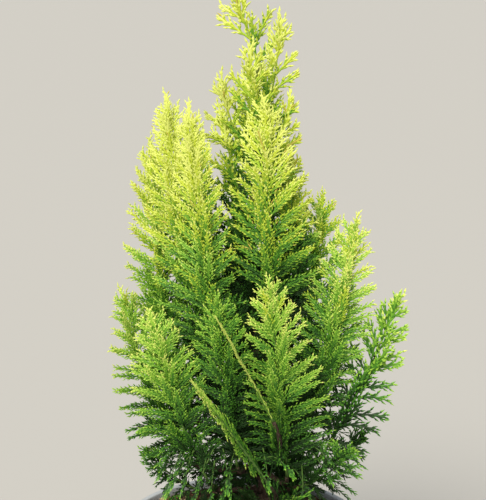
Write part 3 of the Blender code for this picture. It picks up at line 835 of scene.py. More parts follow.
@dataclass(frozen=True)
class Fan:
    """One upright fan of foliage, with the bough that carries it.

    Attributes:
        name: The CAD node that it stands for.
        region: Where in the crown it is.
        leave: Height where its bough, or the stem itself, leaves the trunk.
        foot: The bough's end, or None where the stem grows straight from the trunk.
        tip: The stem's end.
        half_width: Half the fan's width at its widest.
        half_depth: Half its depth.
        face: Degrees that the fan is turned: 0 faces the front, 90 the right-hand side.
        bow: How far the stem bulges away from the trunk.
        gold: How much of the sunlit yellow it has.
        loose: How far its sprays lean out of its plane; the flattest fans have little.
        lay: Degrees that its plane is laid back from upright.
        bright: How much lighter it is than its place alone would make it: painted light, or painted shade where it is
            below zero.
        coarse: Size of its leaves, as a share of its region's.
    """

    name: str
    region: Region
    leave: float
    foot: tuple[float, float, float] | None
    tip: tuple[float, float, float]
    half_width: float
    half_depth: float
    face: float
    bow: float
    gold: float
    loose: float = 1.0
    lay: float = 0.0
    bright: float = 0.0
    coarse: float = 1.0

    def stem_corners(self, trunk: Trunk) -> Array:
        """The four corners of the stem's cubic curve, from its foot to its tip."""
        foot = np.array(self.foot) if self.foot else trunk.at(np.array([self.leave]))[0]
        tip = np.array(self.tip)
        middle = (foot + 2 * tip) / 3 + np.array([1e-5, 0.0, 0.0])
        out = middle - trunk.at(middle[2:])[0]
        out = unit(out * np.array([1.0, 1.0, 0.0]))
        rise = tip - foot
        return np.array([foot, foot + 0.33 * rise + self.bow * out, foot + 0.70 * rise + 0.7 * self.bow * out, tip])

    def bough_corners(self, trunk: Trunk) -> Array:
        """The four corners of the bough's cubic curve: it leaves the trunk rising and ends in line with the stem."""
        start, end = trunk.at(np.array([self.leave]))[0], np.array(self.foot)
        run = end - start
        leaving = unit(unit(run * np.array([1.0, 1.0, 0.0])) + np.array([0.0, 0.0, 0.75]))
        corners = self.stem_corners(trunk)
        arriving = unit(corners[1] - corners[0])
        reach = np.linalg.norm(run)
        return np.array([start, start + 0.38 * reach * leaving, end - 0.30 * reach * arriving, end])


FANS = (
    Fan("leader_tip", Region.LEADER, 0.508, None, (-0.008, -0.002, 0.562), 0.026, 0.014, 4, -0.004, 1.0, bright=0.1),
    Fan("leader_right", Region.LEADER, 0.452, None, (0.027, -0.010, 0.543), 0.020, 0.013, -12, 0.006, 1.0, bright=0.08),
    Fan("leader_left", Region.LEADER, 0.428, None, (-0.014, -0.012, 0.500), 0.022, 0.014, -6, 0.008, 0.9, bright=0.28),
    Fan("leader_front", Region.LEADER, 0.418, None, (0.006, -0.022, 0.524), 0.026, 0.012, -4, 0.006, 1.0, bright=0.08),
    Fan("leader_back", Region.LEADER, 0.440, None, (0.012, 0.028, 0.512), 0.026, 0.015, 140, 0.010, 1.3, bright=0.24),
    Fan("crown_front", Region.CROWN, 0.300, (0.021, -0.022, 0.332), (0.015, -0.028, 0.488), 0.030, 0.014, -6, 0.006, 1.6, bright=0.07),
    Fan("crown_right", Region.CROWN, 0.290, (0.030, 0.008, 0.326), (0.036, 0.004, 0.444), 0.024, 0.016, -30, 0.005, 1.4, bright=0.1),
    Fan("crown_inner", Region.CROWN, 0.272, (-0.008, 0.018, 0.298), (-0.006, 0.030, 0.430), 0.028, 0.017, 40, 0.004, 0.2, bright=-0.12),
    Fan("middle_front", Region.CROWN, 0.307, None, (0.001, -0.022, 0.412), 0.026, 0.013, 0, 0.004, 0.2, bright=-0.06),
    Fan("tower_middle", Region.TOWER, 0.238, (-0.024, -0.012, 0.276), (-0.054, -0.012, 0.488), 0.029, 0.017, 0, 0.010, 1.2, bright=0.02),
    Fan("tower_inner", Region.TOWER, 0.256, (-0.016, -0.026, 0.288), (-0.038, -0.034, 0.484), 0.023, 0.015, -12, 0.006, 1.2, bright=0.05),
    Fan("tower_outer", Region.TOWER, 0.206, (-0.041, 0.000, 0.244), (-0.067, 0.008, 0.452), 0.031, 0.017, 28, 0.013, 0.9, bright=0.05),
    Fan("tower_back", Region.TOWER, 0.226, (-0.022, 0.026, 0.262), (-0.036, 0.038, 0.458), 0.030, 0.018, 150, 0.008, 0.5),
    Fan("left_outer", Region.LEFT, 0.184, (-0.044, -0.018, 0.212), (-0.089, -0.020, 0.344), 0.028, 0.018, 34, 0.010, 0.8, bright=0.1),
    Fan("left_front", Region.LEFT, 0.173, (-0.026, -0.042, 0.202), (-0.066, -0.052, 0.336), 0.032, 0.016, 4, 0.010, 0.8, bright=0.12),
    Fan("left_inner", Region.LEFT, 0.203, (-0.004, -0.044, 0.214), (-0.018, -0.060, 0.350), 0.030, 0.014, -14, 0.004, 0.6),
    Fan("left_low", Region.LEFT, 0.160, (-0.030, -0.022, 0.184), (-0.072, -0.042, 0.226), 0.015, 0.014, 40, 0.008, 0.4),
    Fan("left_droop", Region.LEFT, 0.152, (-0.012, -0.038, 0.178), (-0.054, -0.082, 0.200), 0.014, 0.013, 30, 0.014, 0.3),
    Fan("front_fan", Region.FRONT, 0.1865, (0.033, -0.049, 0.208), (0.018, -0.066, 0.364), 0.033, 0.016, -4, 0.008, 1.0, bright=0.12),
    Fan("front_edge_high", Region.FRONT, 0.195, (0.022, -0.078, 0.262), (-0.017, -0.096, 0.342), 0.020, 0.009, 102, -0.004, 0.8, 0.3, bright=0.36),
    Fan("front_edge_low", Region.FRONT, 0.1635, (0.019, -0.077, 0.213), (-0.034, -0.102, 0.298), 0.020, 0.009, 98, -0.002, 0.8, 0.45, bright=0.2, coarse=1.3),
    Fan("front_low", Region.FRONT, 0.157, (0.028, -0.046, 0.184), (0.036, -0.098, 0.212), 0.022, 0.014, 20, 0.010, 0.6, bright=0.08, coarse=1.3),
    Fan("front_right_low", Region.FRONT, 0.169, (0.044, -0.038, 0.196), (0.076, -0.060, 0.234), 0.026, 0.015, -18, 0.012, 0.8),
    Fan("right_high", Region.RIGHT, 0.220, (0.042, 0.012, 0.262), (0.060, 0.016, 0.410), 0.033, 0.015, -15, 0.006, 0.8, bright=0.06),
    Fan("right_middle", Region.RIGHT, 0.198, (0.048, -0.018, 0.236), (0.083, -0.018, 0.399), 0.031, 0.016, -8, 0.008, 0.7, bright=0.17),
    Fan("right_outer", Region.RIGHT, 0.174, (0.062, -0.016, 0.214), (0.116, -0.020, 0.338), 0.027, 0.016, -24, 0.006, 0.7, coarse=1.5),
    Fan("right_low", Region.RIGHT, 0.156, (0.050, 0.010, 0.182), (0.094, 0.010, 0.220), 0.018, 0.015, -46, 0.008, 0.2),
    Fan("back_right_high", Region.BACK, 0.232, (0.026, 0.038, 0.274), (0.034, 0.050, 0.430), 0.028, 0.017, 130, 0.006, 0.6),
    Fan("back_right_low", Region.BACK, 0.168, (0.048, 0.038, 0.204), (0.082, 0.056, 0.334), 0.031, 0.018, 140, 0.010, 0.6),
    Fan("back_middle", Region.BACK, 0.182, (0.006, 0.048, 0.216), (0.000, 0.074, 0.370), 0.034, 0.018, 184, 0.010, 0.7),
    Fan("back_left_low", Region.BACK, 0.164, (-0.034, 0.034, 0.198), (-0.072, 0.056, 0.338), 0.032, 0.018, 222, 0.010, 0.6),
)


INNER_FANS = (
    Fan("leader_right_low", Region.LEADER, 0.405, None, (0.034, -0.006, 0.486), 0.020, 0.013, -24, 0.006, 1.0, bright=0.14),
    Fan("leader_left_low", Region.LEADER, 0.392, None, (-0.014, -0.010, 0.472), 0.022, 0.013, -8, 0.006, 1.0, bright=0.24),
    Fan("middle_right", Region.INSIDE, 0.262, None, (0.044, -0.004, 0.392), 0.030, 0.016, -10, 0.006, 0.3),
    Fan("middle_low", Region.INSIDE, 0.240, None, (-0.006, -0.030, 0.340), 0.030, 0.016, 0, 0.006, 0.1),
    Fan("core_front", Region.INSIDE, 0.180, None, (0.002, -0.034, 0.300), 0.032, 0.018, 10, 0.006, 0.0),
    Fan("core_left", Region.INSIDE, 0.200, None, (-0.042, -0.006, 0.320), 0.032, 0.018, 50, 0.006, 0.0),
    Fan("core_right", Region.INSIDE, 0.180, None, (0.052, 0.000, 0.310), 0.036, 0.018, -50, 0.006, 0.0),
    Fan("core_back", Region.INSIDE, 0.176, None, (0.012, 0.044, 0.310), 0.036, 0.018, 180, 0.006, 0.0),
    Fan("core_tower", Region.INSIDE, 0.250, None, (-0.040, 0.002, 0.400), 0.030, 0.018, 10, 0.006, 0.0),
    Fan("core_left_front", Region.INSIDE, 0.194, None, (-0.040, -0.034, 0.300), 0.030, 0.016, 8, 0.006, 0.0),
    Fan("core_right_front", Region.INSIDE, 0.168, None, (0.054, -0.030, 0.290), 0.034, 0.016, -8, 0.006, 0.0),
    Fan("core_right_back", Region.INSIDE, 0.205, None, (0.046, 0.026, 0.340), 0.034, 0.018, -30, 0.006, 0.0),
    Fan("core_crown", Region.INSIDE, 0.300, None, (0.020, 0.004, 0.440), 0.032, 0.016, -10, 0.004, 0.2),
    Fan("skirt_front", Region.INSIDE, 0.154, None, (0.002, -0.058, 0.200), 0.018, 0.010, 0, 0.010, 0.1, 1.0, 60),
    Fan("skirt_right", Region.INSIDE, 0.153, None, (0.048, -0.034, 0.200), 0.018, 0.010, -50, 0.010, 0.1, 1.0, 60),
    Fan("skirt_side", Region.INSIDE, 0.155, None, (0.056, 0.024, 0.202), 0.024, 0.010, -110, 0.010, 0.1, 1.0, 60),
    Fan("skirt_back", Region.INSIDE, 0.153, None, (0.010, 0.060, 0.198), 0.026, 0.010, 180, 0.010, 0.1, 1.0, 60),
    Fan("skirt_far", Region.INSIDE, 0.154, None, (-0.040, 0.030, 0.200), 0.026, 0.010, 120, 0.010, 0.1, 1.0, 60),
)


STRANDS = (
    (Region.LEFT, (-0.034, -0.038, 0.238), (-0.058, -0.074, 0.209)),
    (Region.LEFT, (-0.030, -0.046, 0.232), (-0.052, -0.084, 0.204)),
    (Region.LEFT, (-0.024, -0.046, 0.228), (-0.034, -0.076, 0.199)),
    (Region.LEFT, (-0.042, -0.026, 0.232), (-0.069, -0.058, 0.216)),
    (Region.LEFT, (-0.018, -0.050, 0.226), (-0.027, -0.083, 0.203)),
    (Region.LEFT, (-0.036, -0.034, 0.240), (-0.082, -0.054, 0.240)),
    (Region.LEFT, (-0.040, -0.042, 0.236), (-0.066, -0.064, 0.228)),
    (Region.FRONT, (-0.006, -0.050, 0.224), (-0.011, -0.082, 0.202)),
    (Region.FRONT, (0.018, -0.066, 0.234), (0.026, -0.090, 0.214)),
    (Region.FRONT, (0.036, -0.046, 0.220), (0.045, -0.072, 0.196)),
    (Region.FRONT, (0.043, -0.040, 0.234), (0.061, -0.062, 0.216)),
    (Region.RIGHT, (0.056, -0.026, 0.226), (0.082, -0.040, 0.210)),
    (Region.RIGHT, (0.060, 0.010, 0.222), (0.086, 0.020, 0.200)),
    (Region.BACK, (0.040, 0.048, 0.226), (0.058, 0.078, 0.200)),
    (Region.BACK, (0.000, 0.056, 0.228), (-0.006, 0.088, 0.202)),
    (Region.BACK, (-0.040, 0.042, 0.226), (-0.064, 0.066, 0.202)),
)


def cubic(corners: Array, t: Array) -> Array:
    """Places on the cubic curve of four corners, at the shares t."""
    t = t[:, None]
    a, b, c, d = corners
    return (1 - t) ** 3 * a + 3 * (1 - t) ** 2 * t * b + 3 * (1 - t) * t**2 * c + t**3 * d


def belly(t: Array) -> Array:
    """Half width of a fan along its stem, as a share of its widest: quick to open, slow to close."""
    return np.minimum(1.0, 0.62 + 1.9 * t) * (1.0 - 0.84 * t**2.4)


@dataclass(frozen=True)
class Shoot:
    """A leafy length of stem, bough or trunk, with the space that its sprays may fill.

    Attributes:
        region: The crown part whose piece its leaves join.
        course: Its middle line, 97 places from foot to tip.
        half_width: Half the space's width at its widest.
        half_depth: Half its depth.
        face: Degrees that it is turned.
        gold: How much sunlit yellow it has.
        pitch: Metres from one spray to the next.
        ends: Whether a spray ends it.
        lay: Degrees that its plane is laid back from upright.
        loose: How far its sprays lean out of its plane.
        leaf: Size of its scale-leaf shoots, as a share of the usual.
        bright: How much lighter it is than its place alone would make it: painted light, or painted shade where it is
            below zero.
    """

    region: "Region"
    course: Array
    half_width: float
    half_depth: float
    face: float
    gold: float
    pitch: float
    ends: bool
    lay: float = 0.0
    loose: float = 1.0
    leaf: float = 1.0
    bright: float = 0.0


class Spaces:
    """The spaces of all the shoots: elliptical sections along each, wide in its plane and thin across it."""

    SAMPLES = 12
    STATIONS = 8 * SAMPLES + 1
    END = 0.010
    FURTHEST = 1.24

    def __init__(self, shoots: list[Shoot], overlap: float = 0.40, slender: float = 0.013) -> None:
        """Works out every shoot's sections.

        Args:
            shoots: The leafy lengths.
            overlap: How much nearer another shoot than its own a leaf may be.
            slender: Half width under which a shoot is a strand, which hangs through other spaces.
        """
        self.overlap = np.array([2.0 if shoot.half_width < slender else overlap for shoot in shoots])
        self.shoots = shoots
        count = self.SAMPLES
        t = (np.arange(count) + 0.5) / count
        fine = np.stack([shoot.course for shoot in shoots])
        self.points = fine[:, 4::8]
        self.along = unit(np.gradient(fine, axis=1)[:, 4::8])
        turn = np.radians([shoot.face for shoot in shoots])
        lay = np.radians([shoot.lay for shoot in shoots])
        facing = np.stack([np.sin(turn) * np.cos(lay), -np.cos(turn) * np.cos(lay), np.sin(lay)], axis=-1)[:, None]
        self.side = unit(np.cross(self.along, facing))
        self.normal = np.cross(self.side, self.along)
        self.width = np.array([shoot.half_width for shoot in shoots])[:, None] * belly(t)
        self.depth = np.array([shoot.half_depth for shoot in shoots])[:, None] * np.sqrt(belly(t))
        self.half_step = 0.5 * np.linalg.norm(fine[:, -1] - fine[:, 0], axis=1) / count
        self.length = np.linalg.norm(np.diff(fine, axis=1), axis=2).sum(axis=1)
        self.fine = fine

    def distance(self, points: Array) -> Array:
        """How far points lie from each shoot, as a share of its space's own size there.

        Args:
            points: Places, one row each.

        Returns:
            One row for each place and one column for each shoot.
        """
        flat = (-1, 3)
        centre = self.points.reshape(flat)
        reach = np.repeat(self.half_step, self.SAMPLES)
        frames = [getattr(self, name).reshape(flat) for name in ("side", "normal", "along")]
        result = []
        for part in np.array_split(points, max(1, len(points) // 4000)):
            across, deep, run = (part @ frame.T - (centre * frame).sum(axis=1) for frame in frames)
            beyond = np.maximum(np.abs(run) - reach, 0.0) / self.END
            square = (across / self.width.ravel()) ** 2 + (deep / self.depth.ravel()) ** 2 + beyond**2
            result.append(np.sqrt(square.reshape(len(part), len(self.shoots), -1).min(axis=2)))
        return np.concatenate(result)

    def keeps(self, points: Array, shoot: Whole) -> NDArray[np.bool_]:
        """Which points lie in the space of their own shoot and not deep in another's."""
        near = self.distance(points)
        own = near[np.arange(len(points)), shoot]
        near[np.arange(len(points)), shoot] = np.inf
        return (own <= self.FURTHEST) & (near.min(axis=1) >= own - self.overlap[shoot])


@dataclass
class Twigs:
    """Many twigs of one order, as arrays.

    A twig's point at a share s is its root plus its length times (s along + bend s^2 side + cup s^2 normal).
    """

    root: Array
    along: Array
    side: Array
    normal: Array
    length: Array
    bend: Array
    cup: Array
    hand: Array
    shoot: Whole
    tone: Array
    warm: Whole

    def take(self, keep: NDArray) -> "Twigs":
        """The twigs that an index or mask picks."""
        return Twigs(*(getattr(self, name)[keep] for name in self.__dataclass_fields__))

    def place(self, share: Array) -> Array:
        """Points at the shares, one row of shares for each twig or one for all."""
        share = np.broadcast_to(share, (len(self.length), np.shape(share)[-1]))[..., None]
        run = share * self.along[:, None] + share**2 * (
            self.bend[:, None, None] * self.side[:, None] + self.cup[:, None, None] * self.normal[:, None]
        )
        return self.root[:, None] + self.length[:, None, None] * run


@dataclass(frozen=True)
class BranchRule:
    """How twigs of the next order leave a twig.

    Attributes:
        pitch: Metres from one side twig to the next, on alternate hands.
        first: Share of the parent where the first leaves.
        last: Share where the last leaves.
        angle_foot: Degrees between parent and side twig at the parent's foot.
        angle_tip: The same at its tip.
        outer: Length on the parent's outer hand, as a share of the parent's length.
        inner: The same on its inner hand.
        swell: Share of that length at the parent's foot.
        fade: Power by which the length falls towards the parent's tip.
        shortest: Least length.
        longest: Greatest length.
        twist: How far the side twigs' faces turn from the parent's, at random.
        bend: How far they curve back towards the parent's direction.
    """

    pitch: float
    first: float
    last: float
    angle_foot: float
    angle_tip: float
    outer: float
    inner: float
    swell: float
    fade: float
    shortest: float
    longest: float
    twist: float
    bend: float

    def grow(self, parents: Twigs, scale: Array, rng: np.random.Generator) -> tuple[Twigs, Array]:
        """Side twigs of every parent.

        Args:
            parents: The twigs that they leave.
            scale: How coarse each parent's foliage is, as a share of the usual.
            rng: Source of the small differences.

        Returns:
            The side twigs, and the share of the parent where each leaves.
        """
        count = np.floor((self.last - self.first) * parents.length / (self.pitch * scale))
        count = np.maximum(1, count).astype(int)
        index = np.repeat(np.arange(len(count)), count)
        order = np.arange(len(index)) - np.repeat(np.cumsum(count) - count, count)
        total = len(index)
        share = self.first + (self.last - self.first) * (order + 0.5 + rng.uniform(-0.2, 0.2, total)) / count[index]
        start = rng.integers(0, 2, len(count))[index]
        hand = np.where((order + start) % 2 == 0, 1.0, -1.0)
        own = parents.take(index)
        turn = 2 * share[:, None] * (own.bend[:, None] * own.side + own.cup[:, None] * own.normal)
        tangent = unit(own.along + turn)
        normal = unit(own.normal - np.einsum("ij,ij->i", own.normal, tangent)[:, None] * tangent)
        side = np.cross(normal, tangent)
        angle = np.radians(self.angle_foot + (self.angle_tip - self.angle_foot) * share + rng.normal(0, 4, total))
        cos, sin = np.cos(angle)[:, None], (hand * np.sin(angle))[:, None]
        lean = rng.normal(0, 0.5 * self.twist, total)[:, None]
        along = unit(cos * tangent + sin * side + lean * normal)
        outwards = cos * side * hand[:, None] - np.abs(sin) * tangent
        facing = normal + rng.normal(0, self.twist, total)[:, None] * outwards
        facing = unit(facing - np.einsum("ij,ij->i", facing, along)[:, None] * along)
        reach = np.where(hand * own.hand > 0, self.outer, self.inner)
        length = reach * own.length * np.minimum(1.0, self.swell + share) * (1.0 - share) ** self.fade
        coarse = scale[index]
        length = np.clip(length, self.shortest * coarse, self.longest * coarse) * rng.uniform(0.86, 1.12, total)
        grown = Twigs(
            root=own.root
            + own.length[:, None]
            * (
                share[:, None] * own.along
                + share[:, None] ** 2 * (own.bend[:, None] * own.side + own.cup[:, None] * own.normal)
            ),
            along=along,
            side=np.cross(facing, along),
            normal=facing,
            length=length,
            bend=-hand * self.bend,
            cup=rng.normal(0, 0.03, total),
            hand=hand,
            shoot=own.shoot,
            tone=own.tone,
            warm=own.warm,
        )
        return grown, share


@dataclass
class Foliage:
    """All the foliage: stems, sprays, side twigs and scale-leaf tips."""

    trunk: Trunk
    fan_pitch: float = 0.0023
    leader_opens: float = 2.6
    leaf_sizes: dict[Region, float] = field(
        default_factory=lambda: {
            Region.LEADER: 1.65,
            Region.CROWN: 1.15,
            Region.TOWER: 1.10,
            Region.LEFT: 1.00,
            Region.FRONT: 1.00,
            Region.RIGHT: 1.10,
            Region.BACK: 1.20,
            Region.INSIDE: 1.25,
        }
    )
    strand_bunch: int = 2
    strand_size: tuple[float, float] = (0.0034, 0.0030)
    strand_spread: tuple[float, float] = (0.003, 0.008)
    strand_arch: float = 0.007
    # Painted light on the hanging strands.
    strand_bright: float = 0.08
    bough_pitch: float = 0.0032
    trunk_pitch: float = 0.0036
    shingle: float = 0.22
    tilt: float = 0.06
    cup: float = 0.02
    spread_bends: tuple[float, ...] = (0.34, 0.28, 0.12)
    terminal: float = 0.30
    spread_heights: tuple[float, ...] = (0.18, 0.30, 0.42)
    spread_angles: tuple[float, ...] = (82.0, 68.0, 46.0)
    angle_tip: float = 27.0
    lean: float = 0.26
    cover_angle: float = math.radians(17)
    cover_front: float = 0.8
    cover_side: float = 1.0
    # Share of warm twigs that get the tan fleck of painted shade.
    old_share: float = 0.006
    stem_changes: tuple[float, ...] = (0.19, 0.42)
    stem_finishes: tuple[GreenTwig, ...] = (
        GreenTwig("brown_young_shoot", "#3A3A20"),
        GreenTwig("green_young_shoot", "#4F7028"),
        GreenTwig("golden_young_shoot", "#9CB43C"),
    )
    leaf_width: float = 0.0016
    leaf_depth: float = 0.0008
    # Where the crown's usual outside lies and where the leader starts: the tone is painted darker towards the axis, a
    # painted shade for the crown's inside.
    crown_axis: tuple[float, float] = (0.010, -0.006)
    crown_heights: tuple[float, ...] = (0.15, 0.20, 0.26, 0.34, 0.42, 0.48, 0.57)
    crown_radii: tuple[float, ...] = (0.085, 0.105, 0.115, 0.105, 0.080, 0.040, 0.008)
    inside_shade: float = 0.14
    leader_height: float = 0.46
    leader_rise: float = 0.06
    trunk_shoots: tuple[tuple[Region, float, float, float, float, float], ...] = (
        (Region.BACK, 0.165, 0.300, 0.036, 20.0, 0.0),
        (Region.CROWN, 0.285, 0.410, 0.034, 10.0, 0.2),
        (Region.LEADER, 0.395, 0.507, 0.034, 0.0, 1.2),
    )
    side_rule: BranchRule = BranchRule(
        pitch=0.0018,
        first=0.03,
        last=0.97,
        angle_foot=28,
        angle_tip=19,
        outer=0.46,
        inner=0.42,
        swell=0.55,
        fade=0.90,
        shortest=0.0050,
        longest=0.0170,
        twist=0.06,
        bend=0.05,
    )
    tip_rule: BranchRule = BranchRule(
        pitch=0.0015,
        first=0.12,
        last=0.88,
        angle_foot=23,
        angle_tip=17,
        outer=0.46,
        inner=0.42,
        swell=0.75,
        fade=0.45,
        shortest=0.0034,
        longest=0.0064,
        twist=0.10,
        bend=0.04,
    )

    def shoots(self) -> list[Shoot]:
        """The fans' stems, the outer part of each bough, and three lengths of trunk."""
        fine = np.linspace(0.0, 1.0, Spaces.STATIONS)
        made: list[Shoot] = []
        for fan in FANS + INNER_FANS:
            course = cubic(fan.stem_corners(self.trunk), fine)
            size = (fan.half_width, fan.half_depth, fan.face, fan.gold)
            leaf = self.leaf_sizes[fan.region] * fan.coarse
            pitch = self.fan_pitch * (self.leader_opens if fan.region is Region.LEADER else leaf)
            # Painted light fan by fan, and painted shade on the inside fans.
            bright = fan.bright - (self.inside_shade if fan.region is Region.INSIDE else 0.0)
            made.append(Shoot(fan.region, course, *size, pitch, True, fan.lay, fan.loose, leaf, bright))
        for fan in FANS:
            if fan.foot:
                course = cubic(fan.bough_corners(self.trunk), 0.25 + 0.75 * fine)
                size = (0.016, 0.014, fan.face, 0.2 * fan.gold, self.bough_pitch)
                made.append(Shoot(fan.region, course, *size, ends=False))
        for region, low, high, half, face, gold in self.trunk_shoots:
            course = self.trunk.at(low + (high - low) * fine)
            made.append(Shoot(region, course, half, 0.8 * half, face, gold, self.trunk_pitch, ends=False))
        return made + self.strands()

    def strands(self) -> list[Shoot]:
        """Bunches of thin strands that hang from the low fans: each rises a little, then droops to its tip."""
        rng = np.random.default_rng(SEED + 5)
        fine = np.linspace(0.0, 1.0, Spaces.STATIONS)
        made: list[Shoot] = []
        for region, foot, tip in STRANDS:
            for _ in range(self.strand_bunch):
                start = np.array(foot) + rng.normal(0, self.strand_spread[0], 3)
                end = np.array(tip) + rng.normal(0, self.strand_spread[1], 3) * np.array([1.0, 0.6, 0.6])
                arch = np.array([0.0, 0.0, self.strand_arch * rng.uniform(0.5, 1.6)])
                run = end - start
                course = cubic(np.array([start, start + 0.35 * run + arch, start + 0.70 * run + arch, end]), fine)
                face = math.degrees(math.atan2(end[0] - self.crown_axis[0], self.crown_axis[1] - end[1]))
                pitch = self.fan_pitch * 1.2
                made.append(
                    Shoot(region, course, *self.strand_size, face, 0.4, pitch, True, bright=self.strand_bright)
                )
        return made

    def openness(self, points: Array) -> Array:
        """How far out in the crown points are: 0 on its axis, 1 at its usual outside at that height; it sets the
        painted shade of the crown's inside.
        """
        radius = np.hypot(points[:, 0] - self.crown_axis[0], points[:, 1] - self.crown_axis[1])
        share = radius / np.interp(points[:, 2], self.crown_heights, self.crown_radii)
        return np.clip(np.maximum(share, (points[:, 2] - self.leader_height) / self.leader_rise), 0.0, 1.1)

    def sprays(self, spaces: Spaces, rng: np.random.Generator) -> Twigs:
        """The sprays of every shoot, by the solids' rule at a closer pitch, and one that ends each stem.

        A spray's length is where it comes to the edge of its space: the width there over the sine of its
        angle, found by averaging five times.
        """
        rows: list[Twigs] = []
        shares = (np.arange(spaces.SAMPLES) + 0.5) / spaces.SAMPLES
        fine = np.linspace(0, 1, spaces.STATIONS)
        for index, shoot in enumerate(spaces.shoots):
            full = spaces.length[index]
            count = int(0.90 * full / shoot.pitch)
            t = 0.02 + 0.90 * (np.arange(count) + 0.3 * rng.random(count)) / count
            hand = np.where(np.arange(count) % 2 == 0, 1.0, -1.0)
            height = np.interp(t, fine, spaces.fine[index, :, 2])
            widest = np.interp(height, self.spread_heights, self.spread_angles)
            angle = self.angle_tip + (widest - self.angle_tip) * (1.0 - t) ** 0.6
            angle = np.radians(angle + rng.uniform(-5, 5, count))
            cover = (np.arange(count) % 3 == 1) & (shoot.loose > 0.5)
            angle = np.where(cover, self.cover_angle * rng.uniform(0.8, 1.2, count), angle)
            reach = np.where(cover, shoot.half_depth, shoot.half_width)
            length = reach.copy()
            for _ in range(5):
                end = np.minimum(1.0, t + length * np.cos(angle) / full)
                length = 0.5 * (length + reach * belly(end) / np.sin(angle))
            length = np.clip(length * rng.uniform(0.84, 1.20, count), 0.008, 1.3 * shoot.half_width)
            bend = np.where(cover, 0.0, np.interp(height, self.spread_heights, self.spread_bends) * (1.0 - t))
            angle = angle - np.arctan(bend)
            if shoot.ends:
                bend = np.append(bend, 0.0)
                t, hand, angle = np.append(t, 1.0 - self.terminal), np.append(hand, 1.0), np.append(angle, 0.0)
                cover = np.append(cover, False)
                length = np.append(length, self.terminal * full)
                count += 1
            along, side, normal = (
                unit(np.stack([np.interp(t, shares, values[index, :, i]) for i in range(3)], axis=-1))
                for values in (spaces.along, spaces.side, spaces.normal)
            )
            root = np.stack([np.interp(t, fine, spaces.fine[index, :, i]) for i in range(3)], axis=-1)
            free = (angle > 0).astype(float)
            cos, sin = np.cos(angle)[:, None], np.sin(angle)[:, None]
            outwards = cos * hand[:, None] * side - sin * along
            lean = self.lean * shoot.loose * shoot.half_depth / shoot.half_width * rng.uniform(-1, 1, count) * free
            front = np.where(rng.random(count) < self.cover_front, 1.0, -1.0) * np.sin(angle)
            lean = np.where(cover, front, lean)
            across = np.where(cover, self.cover_side * rng.uniform(-1, 1, count), hand)[:, None]
            ways = unit(cos * along + sin * across * side + lean[:, None] * normal)
            tilt = (self.shingle + self.tilt * rng.uniform(-1, 1, count)) * shoot.loose * free
            facing = normal + tilt[:, None] * outwards
            facing = unit(facing - np.einsum("ij,ij->i", facing, ways)[:, None] * ways)
            end = root + length[:, None] * ways
            # Painted shade: the tone falls towards the crown's axis, more so low down; it rises with height, partly the
            # real golden top and partly painted light from above.
            low = np.clip((end[:, 2] - 0.13) / 0.15, 0.3, 1.0)
            lit = 0.32 * low * self.openness(end) - 0.07 + 0.30 * np.clip((end[:, 2] - 0.22) / 0.24, 0.0, 1.0)
            rows.append(
                Twigs(
                    root=root,
                    along=ways,
                    side=np.cross(facing, ways),
                    normal=facing,
                    length=length,
                    bend=-hand * bend,
                    cup=self.cup * rng.uniform(-1, 1, count) * free,
                    hand=-hand,
                    shoot=np.full(count, index),
                    # Tone also falls towards each fan's foot: partly its older, greener growth, partly painted shade.
                    tone=0.20 * shoot.gold + lit + 0.50 * (np.clip(t, 0.0, 0.65) - 0.48) + rng.normal(0, 0.035, count) + shoot.bright,
                    warm=(rng.random(count) < shoot.gold * (end[:, 2] - 0.33) / 0.11).astype(int),
                )
            )
        return Twigs(*(np.concatenate([getattr(row, name) for row in rows]) for name in Twigs.__dataclass_fields__))

    def clear(self, points: Array) -> NDArray[np.bool_]:
        """Which points are clear of the trunk, the compost and the pot's wall and lip."""
        off = np.linalg.norm(points[:, :2] - self.trunk.at(points[:, 2])[:, :2], axis=1)
        of_trunk = (off > self.trunk.thickness(points[:, 2]) + 0.0012) | (points[:, 2] > self.trunk.course[-1][0])
        of_pot = (points[:, 2] > POT_HEIGHT + 0.002) | (np.hypot(points[:, 0], points[:, 1]) < 0.084)
        return of_trunk & of_pot & (points[:, 2] > COMPOST_TOP + 0.003)

    def fitting(self, twigs: Twigs, spaces: Spaces, tries: tuple[float, ...]) -> Twigs:
        """Shortens each twig until its middle and end keep to its own space, and drops what never fits.

        Args:
            twigs: The twigs to fit.
            spaces: The shoots' spaces.
            tries: Shares of the length, tried in turn.

        Returns:
            The twigs that fit, at their fitted lengths.
        """
        done = np.zeros(len(twigs.length), bool)
        full = twigs.length.copy()
        for share in tries:
            rest = np.flatnonzero(~done)
            if not len(rest):
                break
            twigs.length[rest] = full[rest] * share
            some = twigs.take(rest)
            ends = some.place(np.array([0.5, 1.0]))
            fits = np.ones(len(rest), bool)
            for column in range(2):
                spot = ends[:, column]
                fits &= self.clear(spot) & spaces.keeps(spot, some.shoot)
            done[rest[fits]] = True
        return twigs.take(done)

    def rods(self, twigs: Twigs, shares: Array, width: Array, depth: Array) -> tuple[Array, Whole]:
        """Spindles along the twigs, with the half widths and half depths given for the inner shares."""
        count = len(twigs.length)
        paths = twigs.place(shares)
        across = self.leaf[twigs.shoot][:, None] * np.broadcast_to(width, (count, len(shares) - 2))
        deep = self.leaf[twigs.shoot][:, None] * np.broadcast_to(depth, (count, len(shares) - 2))
        return spindles(paths, twigs.side, twigs.normal, across, deep)

